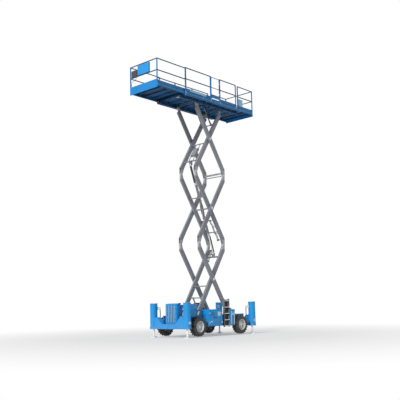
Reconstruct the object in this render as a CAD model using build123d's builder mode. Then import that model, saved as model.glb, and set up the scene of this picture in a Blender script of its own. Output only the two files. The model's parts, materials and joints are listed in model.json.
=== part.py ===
from build123d import *
import os
from math import asin, cos, degrees, hypot, radians, sin

# Rough-terrain scissor lift with outriggers and two roll-out decks, platform raised.
# Millimetres, +Z up. X runs along the machine with the steering end at -X, and Y runs
# across it. The origin is on the ground, below the middle of the raised machine.

# ---------------------------------------------------------------- running gear
base_x = 245.0              # middle of the wheelbase
wheelbase = 2840.0
wheel_y = 990.0             # tyre centre planes, either side
wheel_z = 455.0             # wheel centres, with the tyres held clear of the ground
tyre_radius = 420.0
tyre_width = 310.0
tyre_shoulder = 55.0
rim_radius = 235.0
rim_wall = 20.0
rim_width = 250.0
dish_thick = 26.0
dish_inset = 70.0           # dish from the outer edge of the rim
hub_radius = 80.0
hub_length = 130.0
spindle_radius = 34.0
running_gap = 0.08          # radial clearance of every pin, spindle and rod guide
kingpin_y = 800.0
kingpin_radius = 22.0
boss_radius = 50.0
boss_height = 160.0
ear_thick = 20.0
ear_gap = 2.0
web_gap = 6.0               # kingpin boss to the knuckle's web
axle_width = 120.0
axle_bottom = 400.0
axle_top = 520.0
axle_beam_end = 770.0
rear_axle_end = 850.0

# ---------------------------------------------------------------- chassis
rail_y = 555.0
rail_width = 110.0
rail_bottom = 440.0
rail_top = 785.0
bed_thick = 18.0            # plates that carry the arm tracks
pan_thick = 8.0
pan_rise = 90.0
member_width = 140.0
member_height = 150.0
member_sets = (-1650.0, -730.0, 0.0, 790.0, 2080.0)   # cross members from the stack's middle
seat_length = 220.0         # box member in front, under the cooler box
seat_height = 140.0
shelf_thick = 15.0
shelf_front = -600.0
shelf_rear = 1205.0
shelf_reach = 1095.0        # outer edge of the shelf plates
axle_gap = 5.0              # notch in the rail beside the axle

# ---------------------------------------------------------------- outriggers
leg_ahead = 690.0           # front legs ahead of the front axle
leg_behind = 890.0          # rear legs behind the rear axle
leg_y = 1020.0
sleeve_radius = 165.0
sleeve_bottom = 370.0
sleeve_top = 1480.0
cap_height = 30.0
cap_lip = 6.0
collar_height = 100.0
collar_lip = 10.0
beam_depth = 160.0
beam_setback = 30.0         # beam centre from the leg centre, away from the wheels
beam_height = 210.0
flare_top = 880.0
flare_inner_y = 690.0
flare_foot_y = 410.0
leg_radius = 38.0
leg_top = 950.0
leg_travel = 280.0
leg_headroom = 40.0
pad_radius = 145.0
pad_thick = 18.0
pad_neck_z = 80.0
pad_neck_radius = 50.0
ring_z = 630.0
ring_radius = 48.0
ring_bar = 16.0

# ---------------------------------------------------------------- side boxes
box_gap = 11.0              # trays and tank to the arm tracks
box_outer_y = 1130.0
box_wall = 4.0
seat_gap = 0.3              # swinging tray above its shelf, gate above its bracket
control_front_x = -600.0
control_rear_x = 295.0
control_top = 1170.0
engine_front_x = -595.0
engine_rear_x = 1215.0
engine_top = 1400.0
engine_length = 760.0
engine_width = 330.0
engine_height = 560.0
hinge_radius = 14.0
hinge_inset = 55.0          # hinge post from the corner of its tray
tank_front_x = 850.0
tank_rear_x = 1222.0
tank_outer_y = 1120.0
tank_top = 1150.0
tank_corner = 60.0
cabinet_front_x = -1655.0
cabinet_rear_x = -1175.0
cabinet_outer_y = 930.0
cabinet_bottom = 900.0
cabinet_top = 1425.0
box_corner = 18.0           # upright edges of the cooler box and side cabinet
cooler_set = 20.0           # cooler behind the rails' front ends
cooler_depth = 185.0
cooler_half = 355.0
cooler_top = 1450.0
ladder_front_x = 470.0
ladder_rear_x = 825.0
ladder_inner_y = 1020.0
ladder_outer_y = 1110.0
ladder_bottom = 380.0
ladder_top = 1610.0
stringer = 14.0
ladder_slot = 5.0           # shelf's edge to the ladder
tread_count = 5
tread_first_z = 400.0
tread_pitch = 280.0
tread_thick = 26.0
ladder_stay = 40.0

# ---------------------------------------------------------------- scissor stack
stack_x = 355.0
pin_half = 1871.0           # centre pin to end pin, measured along the arm
pin_offset = 105.0          # end pin from the arm's centre line
arm_depth = 200.0
arm_width = 90.0
inner_y = 465.0
arm_gap = 25.0              # between the inner and the outer arms
arm_tilt = 57.9             # tubes above the level, platform raised
foot_z = 870.0              # lower pins
lug_radius = 55.0
lug_reach = 220.0           # end pin to the square end of the tube
lug_base = 92.0             # half depth of a lug where it meets the tube
cheek_thick = 8.0
cheek_lap = 120.0
tongue_gap = 2.0            # tongue to cheek, each side
pin_radius = 26.0
centre_pin_radius = 32.0
spacer_radius = 62.0
spacer_thick = 20.0
pin_inset = 2.0             # centre pin's end inside the inner arm's face
tube_bite = 1.0             # cross tube into the wall it is welded to
cross_radius = 25.0
elbow_tube_radius = 45.0
elbow_tube_back = 110.0     # thick cross tube from the elbow pin, along the arm
elbow_tube_up = 60.0        # and square to it
shoe_radius = 55.0
shoe_set = 25.0             # shoe from the outer arm
shoe_width = 40.0

# ---------------------------------------------------------------- arm tracks
track_lip = 8.0             # flange past the shoe, towards the arm
track_end_gap = 6.0         # shoe to the web
track_web = 8.0
track_flange = 10.0
shoe_gap = 2.0
track_run = 40.0            # track past the shoe at its furthest

# ---------------------------------------------------------------- lift cylinders
mount_x = 174.0             # barrel pins from the middle of the second inner arms
eye_x = 1424.0              # rod eyes from the middle of the first and third inner arms
eye_up = 50.0               # both from the centre line of their arms
eye_radius = 45.0
eye_half = 40.0
barrel_neck = 80.0          # barrel pin to the tube
plate_y = 46.0
plate_thick = 12.0
plate_radius = 50.0
stub_gap = 2.0              # rod's pin stub to the mount plate
carrier_x = 1290.0
carrier_up = 30.0
carrier_radius = 35.0
carrier_eye = 45.0          # plate round the carrier tube
barrel_radius = 60.0
barrel_length = 1080.0
barrel_floor = 190.0
rod_radius = 32.0
rod_overlap = 110.0         # rod still inside the barrel when fully out
strut_radius = 18.0
strut_y = 130.0
strut_up = 40.0
strut_end = 230.0           # struts end in the cross tube at this distance
pack_front = 520.0          # valve box on the third inner arms
pack_rear = 980.0
pack_half = 150.0
pack_low = -10.0
pack_high = 80.0

# ---------------------------------------------------------------- centring links
link_y = 270.0
link_thick = 30.0
link_depth = 64.0
link_eye = 44.0
link_tie = 20.0
link_gap = 8.0
link_lug = 20.0

# ---------------------------------------------------------------- decks
floor_rise = 215.0          # roll-out floors above the top pins
deck_x = 345.0
deck_length = 3900.0
beam_outer_y = 930.0
side_beam = 45.0
side_beam_drop = 220.0
deck_plate = 15.0
deck_step = 85.0            # main floor below the roll-out floors
deck_gap = 10.0             # between the main deck and a roll-out deck
joist_width = 60.0
joist_pitch = 460.0
low_joist = 50.0
ext_beam = 40.0
ext_beam_drop = 160.0
ext_lift = 5.0              # roll-out joists above the main floor
front_end_x = -3325.0
rear_end_x = 3355.0
front_travel = 1520.0
rear_travel = 1000.0
deck_lap = 150.0
end_plate = 20.0
end_plate_rise = 145.0

# ---------------------------------------------------------------- guardrails
top_rail = 1100.0
mid_rail = 560.0
toe_height = 125.0
toe_thick = 5.0
post_size = 40.0
rail_size = 36.0
gate_front_x = 125.0        # gate posts
gate_rear_x = 795.0
main_post_x = 1975.0        # last post of the main guardrail
far_post_x = (-400.0, 800.0)
gate_gap = 20.0
gate_radius = 15.0
gate_lift = 60.0
pintle_radius = 7.0
pintle_depth = 40.0
bracket_thick = 12.0
inner_post_set = 50.0       # inner posts from the inner end of a roll-out deck
manual_low_y = -380.0
manual_high_y = 340.0
manual_depth = 85.0
manual_height = 440.0
control_low_y = 410.0
control_high_y = 770.0
control_depth = 130.0
control_height = 300.0
manual_proud = 30.0         # past the end of the deck
control_proud = 10.0

# ---------------------------------------------------------------- worked out
sides = (1, -1)
front_axle_x = base_x - wheelbase / 2
rear_axle_x = base_x + wheelbase / 2
outer_y = inner_y + arm_width + arm_gap
shoe_inner_y = outer_y + arm_width / 2 + shoe_set
shoe_outer_y = shoe_inner_y + shoe_width
track_inner_y = shoe_inner_y - track_lip
track_outer_y = shoe_outer_y + track_end_gap + track_web
box_inner_y = track_outer_y + box_gap
pin_reach = hypot(pin_half, pin_offset)
pin_tilt = arm_tilt + degrees(asin(pin_offset / pin_reach))
stage = 2 * pin_reach * sin(radians(pin_tilt))
head_z = foot_z + 3 * stage
floor_z = head_z + floor_rise
main_floor_z = floor_z - deck_step
tube_end = pin_half - lug_reach
rail_inner_y = rail_y - rail_width / 2
rail_outer_y = rail_y + rail_width / 2
front_leg_x = front_axle_x - leg_ahead
rear_leg_x = rear_axle_x + leg_behind
front_beam_x = front_leg_x - beam_setback
rear_beam_x = rear_leg_x + beam_setback
rail_front = front_beam_x + beam_depth / 2
rail_rear = rear_beam_x - beam_depth / 2
pan_z = rail_bottom + pan_rise
track_clear = 2 * (shoe_radius + shoe_gap)
track_height = track_clear + 2 * track_flange
track_length = 2 * (pin_half + shoe_radius + track_run)
bed_top = foot_z - track_height / 2
link_lug_y = link_y + link_thick / 2 + link_gap + link_lug / 2
link_pin_in = link_y - link_thick / 2 - link_gap
link_pin_out = link_lug_y + link_lug / 2
link_length = pin_reach / 2
hinge_y = box_outer_y - hinge_inset
hinge_front_x = control_front_x + hinge_inset
hinge_rear_x = engine_rear_x - hinge_inset
ladder_x = (ladder_front_x + ladder_rear_x) / 2
slot_length = ladder_rear_x - ladder_front_x + 2 * ladder_slot
deck_front = deck_x - deck_length / 2
deck_rear = deck_x + deck_length / 2
beam_inner_y = beam_outer_y - side_beam
ext_outer_y = beam_inner_y - deck_gap
ext_inner_y = ext_outer_y - ext_beam
ext_y = (ext_outer_y + ext_inner_y) / 2
post_y = beam_outer_y - side_beam / 2
top_z = floor_z + top_rail - rail_size / 2
mid_z = floor_z + mid_rail
gate_foot_z = floor_z + gate_lift
gate_hinge_x = gate_rear_x - post_size / 2 - gate_gap - gate_radius
gate_latch_x = gate_front_x + post_size / 2 + gate_gap + gate_radius

os.makedirs("parts", exist_ok=True)


def write(piece, name):
    """Label a finished piece and write its STEP file."""
    piece.part.label = name
    export_step(piece.part, f"parts/{name}.step")


def upright(y=0.0):
    """Plane where a sketch's (x, y) is the machine's (X, Z), at the given Y."""
    return Plane.XZ.offset(-y)


def arm_plane(level, lean, y=0.0):
    """Plane of an arm: its x along the tube, from the centre pin, and its y square to it."""
    turn = radians(lean * arm_tilt)
    centre = (stack_x, y, foot_z + stage * (level + 0.5))
    return Plane(origin=centre, x_dir=(cos(turn), 0, sin(turn)), z_dir=(0, -1, 0))


def arm_point(level, lean, along, up):
    """World (X, Z) of a point given in an arm's own plane."""
    point = arm_plane(level, lean).from_local_coords(Vector(along, up, 0))
    return point.X, point.Z


def hull_of(*discs):
    """Outline round discs given as (x, y, radius), drawn in the sketch that is open."""
    for x, y, radius in discs:
        with Locations((x, y)):
            Circle(radius)
    make_hull()


# ================================================================ chassis
# Frame: two box rails, cross members, a bottom pan, bed plates with the C-shaped arm
# tracks, shelf plates for the side boxes, and the lugs of the lower centring link.
low_link_top = pan_z + member_height

with BuildPart() as chassis_frame:
    with BuildSketch(Plane.XY.offset(rail_bottom)):
        with Locations(((rail_front + rail_rear) / 2, rail_y), ((rail_front + rail_rear) / 2, -rail_y)):
            Rectangle(rail_rear - rail_front, rail_width)
    extrude(amount=rail_top - rail_bottom)
    with BuildSketch(Plane.XY.offset(rail_bottom)):
        for axle_x in (front_axle_x, rear_axle_x):
            with Locations((axle_x, rail_y), (axle_x, -rail_y)):
                Rectangle(axle_width + 2 * axle_gap, rail_width)
    extrude(amount=axle_top - rail_bottom, mode=Mode.SUBTRACT)
    with BuildSketch(Plane.XY.offset(pan_z)):
        with Locations(((rail_front + rail_rear) / 2, 0)):
            Rectangle(rail_rear - rail_front, 2 * rail_inner_y)
    extrude(amount=pan_thick)
    with BuildSketch(Plane.XY.offset(pan_z)):
        for member_set in member_sets:
            with Locations((stack_x + member_set, 0)):
                Rectangle(member_width, 2 * rail_inner_y)
    extrude(amount=member_height)
    with BuildSketch(Plane.XY.offset(rail_bottom)):
        with Locations((rail_front + seat_length / 2, 0)):
            Rectangle(seat_length, 2 * rail_inner_y)
    extrude(amount=seat_height)
    with BuildSketch(Plane.XY.offset(bed_top)):
        for side in sides:
            with Locations((stack_x, side * (rail_inner_y + track_outer_y) / 2)):
                Rectangle(track_length, track_outer_y - rail_inner_y)
    extrude(amount=-bed_thick)
    with BuildSketch(Plane.YZ.offset(stack_x - track_length / 2)):
        for side in sides:
            with Locations((side * (track_inner_y + track_outer_y) / 2, foot_z)):
                Rectangle(track_outer_y - track_inner_y, track_height)
    extrude(amount=track_length)
    with BuildSketch(Plane.YZ.offset(stack_x - track_length / 2 + track_flange)):
        for side in sides:
            with Locations((side * (track_inner_y + track_outer_y - track_web) / 2, foot_z)):
                Rectangle(track_outer_y - track_inner_y - track_web, track_clear)
    extrude(amount=track_length - 2 * track_flange, mode=Mode.SUBTRACT)
    with BuildSketch(Plane.XY.offset(rail_bottom)):
        for side in sides:
            with Locations(((shelf_front + shelf_rear) / 2, side * (rail_outer_y + shelf_reach) / 2)):
                Rectangle(shelf_rear - shelf_front, shelf_reach - rail_outer_y)
    extrude(amount=shelf_thick)
    with BuildSketch(Plane.XY.offset(rail_bottom)):
        with Locations((ladder_x, -(ladder_inner_y + ladder_outer_y) / 2)):
            Rectangle(slot_length, ladder_outer_y - ladder_inner_y + 2 * ladder_slot)
        with Locations((hinge_front_x, -hinge_y), (hinge_rear_x, hinge_y)):
            Circle(hinge_radius + running_gap)
    extrude(amount=shelf_thick, mode=Mode.SUBTRACT)
    for side in sides:
        with BuildSketch(upright(side * link_lug_y)):
            with Locations((stack_x, foot_z)):
                Circle(link_eye)
            with Locations((stack_x, (foot_z + low_link_top) / 2)):
                Rectangle(2 * link_eye, foot_z - low_link_top)
        extrude(amount=link_lug / 2, both=True)
        with BuildSketch(upright(side * (link_pin_in + link_pin_out) / 2)):
            with Locations((stack_x, foot_z)):
                Circle(pin_radius)
        extrude(amount=(link_pin_out - link_pin_in) / 2, both=True)
write(chassis_frame, "chassis_frame")

# Outrigger beams: at each end a U of two upright sleeves on a low cross beam. Bores guide
# the legs, and each sleeve has a cap, a foot collar and a tie-down ring outside.
with BuildPart() as outrigger_beams:
    for leg_x, beam_x in ((front_leg_x, front_beam_x), (rear_leg_x, rear_beam_x)):
        with BuildSketch(Plane.YZ.offset(beam_x - beam_depth / 2)):
            with BuildLine():
                Polyline(
                    (-leg_y, sleeve_bottom), (leg_y, sleeve_bottom), (leg_y, flare_top),
                    (flare_inner_y, flare_top), (flare_foot_y, sleeve_bottom + beam_height),
                    (-flare_foot_y, sleeve_bottom + beam_height), (-flare_inner_y, flare_top),
                    (-leg_y, flare_top), close=True)
            make_face()
        extrude(amount=beam_depth)
        leg_places = [(leg_x, side * leg_y) for side in sides]
        with BuildSketch(Plane.XY.offset(sleeve_bottom)):
            with Locations(*leg_places):
                Circle(sleeve_radius)
        extrude(amount=sleeve_top - sleeve_bottom)
        with BuildSketch(Plane.XY.offset(sleeve_bottom)):
            with Locations(*leg_places):
                Circle(sleeve_radius + collar_lip)
        extrude(amount=collar_height)
        with BuildSketch(Plane.XY.offset(sleeve_top - cap_height)):
            with Locations(*leg_places):
                Circle(sleeve_radius + cap_lip)
        extrude(amount=cap_height)
        with BuildSketch(Plane.XY.offset(sleeve_bottom)):
            with Locations(*leg_places):
                Circle(leg_radius + running_gap)
        extrude(amount=leg_top + leg_travel + leg_headroom - sleeve_bottom, mode=Mode.SUBTRACT)
        for side in sides:
            with BuildSketch(upright(side * (leg_y + sleeve_radius))):
                with Locations((leg_x, ring_z)):
                    Circle(ring_radius)
                    Circle(ring_radius - ring_bar, mode=Mode.SUBTRACT)
            extrude(amount=ring_bar / 2, both=True)
write(outrigger_beams, "outrigger_beams")

# Axles: box beams across the machine in the notches of the rails. The front one carries
# kingpin bosses, and the rear one spindles.
with BuildPart() as axles:
    with BuildSketch(Plane.XY.offset(axle_bottom)):
        with Locations((front_axle_x, 0)):
            Rectangle(axle_width, 2 * axle_beam_end)
        with Locations((rear_axle_x, 0)):
            Rectangle(axle_width, 2 * rear_axle_end)
    extrude(amount=axle_top - axle_bottom)
    kingpins = [(front_axle_x, side * kingpin_y) for side in sides]
    with BuildSketch(Plane.XY.offset(wheel_z - boss_height / 2)):
        with Locations(*kingpins):
            Circle(boss_radius)
    extrude(amount=boss_height)
    with BuildSketch(Plane.XY.offset(wheel_z - boss_height / 2)):
        with Locations(*kingpins):
            Circle(kingpin_radius + running_gap)
    extrude(amount=boss_height, mode=Mode.SUBTRACT)
    with BuildSketch(upright()):
        with Locations((rear_axle_x, wheel_z)):
            Circle(spindle_radius)
    extrude(amount=wheel_y + rim_width / 2 - dish_inset, both=True)
write(axles, "axles")

# Steering knuckles: a yoke round the kingpin boss, its kingpin, and the wheel's spindle.
web_y = kingpin_y + boss_radius + web_gap
for side, name in ((1, "knuckle_left"), (-1, "knuckle_right")):
    with BuildPart() as knuckle:
        ear_rise = boss_height / 2 + ear_gap
        for ear_z in (wheel_z - ear_rise - ear_thick, wheel_z + ear_rise):
            with BuildSketch(Plane.XY.offset(ear_z)):
                with Locations((front_axle_x, side * kingpin_y)):
                    Circle(boss_radius)
                with Locations((front_axle_x, side * (kingpin_y + web_y) / 2)):
                    Rectangle(2 * boss_radius, web_y - kingpin_y)
            extrude(amount=ear_thick)
        with BuildSketch(Plane.XY.offset(wheel_z - boss_height / 2 - ear_gap - ear_thick)):
            with Locations((front_axle_x, side * (web_y + ear_thick / 2))):
                Rectangle(2 * boss_radius, ear_thick)
        extrude(amount=boss_height + 2 * (ear_gap + ear_thick))
        with BuildSketch(Plane.XY.offset(wheel_z - boss_height / 2 - ear_gap - ear_thick)):
            with Locations((front_axle_x, side * kingpin_y)):
                Circle(kingpin_radius)
        extrude(amount=boss_height + 2 * (ear_gap + ear_thick))
        spindle_end = wheel_y + rim_width / 2 - dish_inset
        with BuildSketch(upright(side * (web_y + spindle_end) / 2)):
            with Locations((front_axle_x, wheel_z)):
                Circle(spindle_radius)
        extrude(amount=(spindle_end - web_y) / 2, both=True)
    write(knuckle, name)

# Wheels: a one-piece rim with a dished centre and a hub, and a broad tyre on it.
wheels = (      # name, axle x, side
    ("front_left", front_axle_x, 1),
    ("front_right", front_axle_x, -1),
    ("rear_left", rear_axle_x, 1),
    ("rear_right", rear_axle_x, -1),
)
for name, wheel_x, side in wheels:
    face = Plane(origin=(wheel_x, side * wheel_y, wheel_z), x_dir=(0, side, 0), z_dir=(side, 0, 0))
    dish_x = rim_width / 2 - dish_inset
    with BuildPart() as rim:
        with BuildSketch(face):
            with BuildLine():
                Polyline(
                    (-rim_width / 2, rim_radius - rim_wall), (dish_x - dish_thick, rim_radius - rim_wall),
                    (dish_x - dish_thick, hub_radius), (dish_x - hub_length, hub_radius),
                    (dish_x - hub_length, spindle_radius + running_gap),
                    (dish_x, spindle_radius + running_gap), (dish_x, rim_radius - rim_wall),
                    (rim_width / 2, rim_radius - rim_wall), (rim_width / 2, rim_radius),
                    (-rim_width / 2, rim_radius), close=True)
            make_face()
        revolve(axis=Axis((wheel_x, side * wheel_y, wheel_z), (0, 1, 0)))
    write(rim, f"rim_{name}")
    with BuildPart() as tyre:
        with BuildSketch(face):
            with BuildLine():
                Polyline(
                    (-rim_width / 2, rim_radius), (rim_width / 2, rim_radius),
                    (tyre_width / 2, rim_radius + tyre_shoulder),
                    (tyre_width / 2, tyre_radius - tyre_shoulder),
                    (tyre_width / 2 - tyre_shoulder / 2, tyre_radius),
                    (-tyre_width / 2 + tyre_shoulder / 2, tyre_radius),
                    (-tyre_width / 2, tyre_radius - tyre_shoulder),
                    (-tyre_width / 2, rim_radius + tyre_shoulder),
                    close=True)
            make_face()
        revolve(axis=Axis((wheel_x, side * wheel_y, wheel_z), (0, 1, 0)))
    write(tyre, f"tyre_{name}")

# Outrigger legs: a round rod that slides in its sleeve, and a flared pad on the ground.
legs = (        # name, x, side
    ("front_left", front_leg_x, 1),
    ("front_right", front_leg_x, -1),
    ("rear_left", rear_leg_x, 1),
    ("rear_right", rear_leg_x, -1),
)
for name, leg_x, side in legs:
    with BuildPart() as leg:
        with BuildSketch(Plane.XZ.offset(-side * leg_y)):
            with BuildLine():
                Polyline(
                    (leg_x, 0), (leg_x + pad_radius, 0), (leg_x + pad_radius, pad_thick),
                    (leg_x + pad_neck_radius, pad_neck_z), (leg_x + leg_radius, pad_neck_z),
                    (leg_x + leg_radius, leg_top), (leg_x, leg_top), close=True)
            make_face()
        revolve(axis=Axis((leg_x, side * leg_y, 0), (0, 0, 1)))
    write(leg, f"leg_{name}")

# Trays: closed sheet-metal boxes that swing out over the shelf, each on a post near one
# corner that turns in a hole of the shelf plate.
trays = (       # name, side, front x, rear x, top, hinge x
    ("control_tray", -1, control_front_x, control_rear_x, control_top, hinge_front_x),
    ("engine_tray", 1, engine_front_x, engine_rear_x, engine_top, hinge_rear_x),
)
tray_bottom = rail_bottom + shelf_thick + seat_gap
for name, side, front_x, rear_x, top, hinge_x in trays:
    middle = ((front_x + rear_x) / 2, side * (box_inner_y + box_outer_y) / 2)
    with BuildPart() as tray:
        with BuildSketch(Plane.XY.offset(tray_bottom)):
            with Locations(middle):
                Rectangle(rear_x - front_x, box_outer_y - box_inner_y)
        extrude(amount=top - tray_bottom)
        with BuildSketch(Plane.XY.offset(tray_bottom + box_wall)):
            with Locations(middle):
                Rectangle(rear_x - front_x - 2 * box_wall, box_outer_y - box_inner_y - 2 * box_wall)
        extrude(amount=top - tray_bottom - 2 * box_wall, mode=Mode.SUBTRACT)
        with BuildSketch(Plane.XY.offset(tray_bottom)):
            with Locations((hinge_x, side * hinge_y)):
                Circle(hinge_radius)
        extrude(amount=-seat_gap - shelf_thick)
    write(tray, name)

# Engine: a plain block of its real size on the floor of its tray.
with BuildPart() as engine_block:
    with BuildSketch(Plane.XY.offset(tray_bottom + box_wall)):
        with Locations(((engine_front_x + engine_rear_x) / 2, (box_inner_y + box_outer_y) / 2)):
            Rectangle(engine_length, engine_width)
    extrude(amount=engine_height)
write(engine_block, "engine_block")

# Tank: a round-cornered box on the near shelf.
with BuildPart() as fuel_tank:
    with BuildSketch(Plane.XY.offset(rail_bottom + shelf_thick)):
        with Locations(((tank_front_x + tank_rear_x) / 2, -(box_inner_y + tank_outer_y) / 2)):
            Rectangle(tank_rear_x - tank_front_x, tank_outer_y - box_inner_y)
    extrude(amount=tank_top - rail_bottom - shelf_thick)
    fillet(fuel_tank.edges().filter_by(Axis.Z), radius=tank_corner)
    fillet(fuel_tank.faces().sort_by(Axis.Z)[-1].edges(), radius=tank_corner / 2)
write(fuel_tank, "fuel_tank")

# Cabinet: a tall box bolted to the web of the near track, above the steered wheel.
with BuildPart() as side_cabinet:
    with BuildSketch(Plane.XY.offset(cabinet_bottom)):
        with Locations(((cabinet_front_x + cabinet_rear_x) / 2, -(track_outer_y + cabinet_outer_y) / 2)):
            Rectangle(cabinet_rear_x - cabinet_front_x, cabinet_outer_y - track_outer_y)
    extrude(amount=cabinet_top - cabinet_bottom)
    fillet(side_cabinet.edges().filter_by(Axis.Z), radius=box_corner)
write(side_cabinet, "side_cabinet")

# Cooler box: stands on the seat member between the front sleeves.
with BuildPart() as cooler_box:
    with BuildSketch(Plane.XY.offset(rail_bottom + seat_height)):
        with Locations((rail_front + cooler_set + cooler_depth / 2, 0)):
            Rectangle(cooler_depth, 2 * cooler_half)
    extrude(amount=cooler_top - rail_bottom - seat_height)
    fillet(cooler_box.edges().filter_by(Axis.Z), radius=box_corner)
write(cooler_box, "cooler_box")

# Ladder: two stringers with treads, held off the near rail by stays.
with BuildPart() as entry_ladder:
    with BuildSketch(Plane.XY.offset(ladder_bottom)):
        for stringer_x in (ladder_front_x + stringer / 2, ladder_rear_x - stringer / 2):
            with Locations((stringer_x, -(ladder_inner_y + ladder_outer_y) / 2)):
                Rectangle(stringer, ladder_outer_y - ladder_inner_y)
    extrude(amount=ladder_top - ladder_bottom)
    for tread in range(tread_count):
        with BuildSketch(Plane.XY.offset(tread_first_z + tread * tread_pitch)):
            with Locations((ladder_x, -(ladder_inner_y + ladder_outer_y) / 2)):
                Rectangle(ladder_rear_x - ladder_front_x, ladder_outer_y - ladder_inner_y)
        extrude(amount=tread_thick)
    for stay_z in (rail_bottom + shelf_thick, rail_top - ladder_stay):
        with BuildSketch(Plane.XY.offset(stay_z)):
            for stringer_x in (ladder_front_x + stringer, ladder_rear_x - stringer):
                with Locations((stringer_x, -(rail_outer_y + ladder_inner_y) / 2)):
                    Rectangle(2 * stringer, ladder_inner_y - rail_outer_y)
        extrude(amount=ladder_stay)
write(entry_ladder, "entry_ladder")

# ================================================================ scissor stack
# Each frame is the near and far arm of one stage. Lower ends of the upper stages carry a
# pair of cheeks, upper ends of the lower stages a tongue that fits between them, and the
# ends in the tracks carry round shoes. Outer arms carry the centre pins.
arms = (        # name, level, lean, y, lower end, upper end
    ("arm_1_inner", 0, 1, inner_y, "shoe", "tongue"),
    ("arm_1_outer", 0, -1, outer_y, "shoe", "tongue"),
    ("arm_2_inner", 1, -1, inner_y, "cheek", "tongue"),
    ("arm_2_outer", 1, 1, outer_y, "cheek", "tongue"),
    ("arm_3_inner", 2, 1, inner_y, "cheek", "shoe"),
    ("arm_3_outer", 2, -1, outer_y, "cheek", "shoe"),
)
cross_tubes = {     # arm: (along, up, radius) of its cross tubes, in its own plane
    "arm_1_inner": (
        (-350.0, 10.0, cross_radius),
        (-pin_half / 2, -pin_offset / 2, cross_radius),
        (carrier_x, -carrier_up, carrier_radius),
    ),
    "arm_2_inner": (
        (0.0, 0.0, carrier_radius),
        (-620.0, -35.0, cross_radius),
        (1250.0, 35.0, cross_radius),
    ),
    "arm_3_inner": (
        (-strut_end, 30.0, cross_radius),
        (-carrier_x, carrier_up, carrier_radius),
        (pin_half / 2, pin_offset / 2, cross_radius),
    ),
    "arm_3_outer": (
        (pin_half - elbow_tube_back, elbow_tube_up - pin_offset, elbow_tube_radius),
        (pin_half, -pin_offset, pin_radius),
    ),
}
mount_plates = {    # arm: discs (along, up, radius) whose hull is its cylinder mount plate
    "arm_1_inner": ((carrier_x, -carrier_up, carrier_eye), (eye_x, eye_up, plate_radius)),
    "arm_2_inner": ((-mount_x, eye_up, plate_radius), (mount_x, -eye_up, plate_radius)),
    "arm_3_inner": ((-carrier_x, carrier_up, carrier_eye), (-eye_x, -eye_up, plate_radius)),
}

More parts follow.
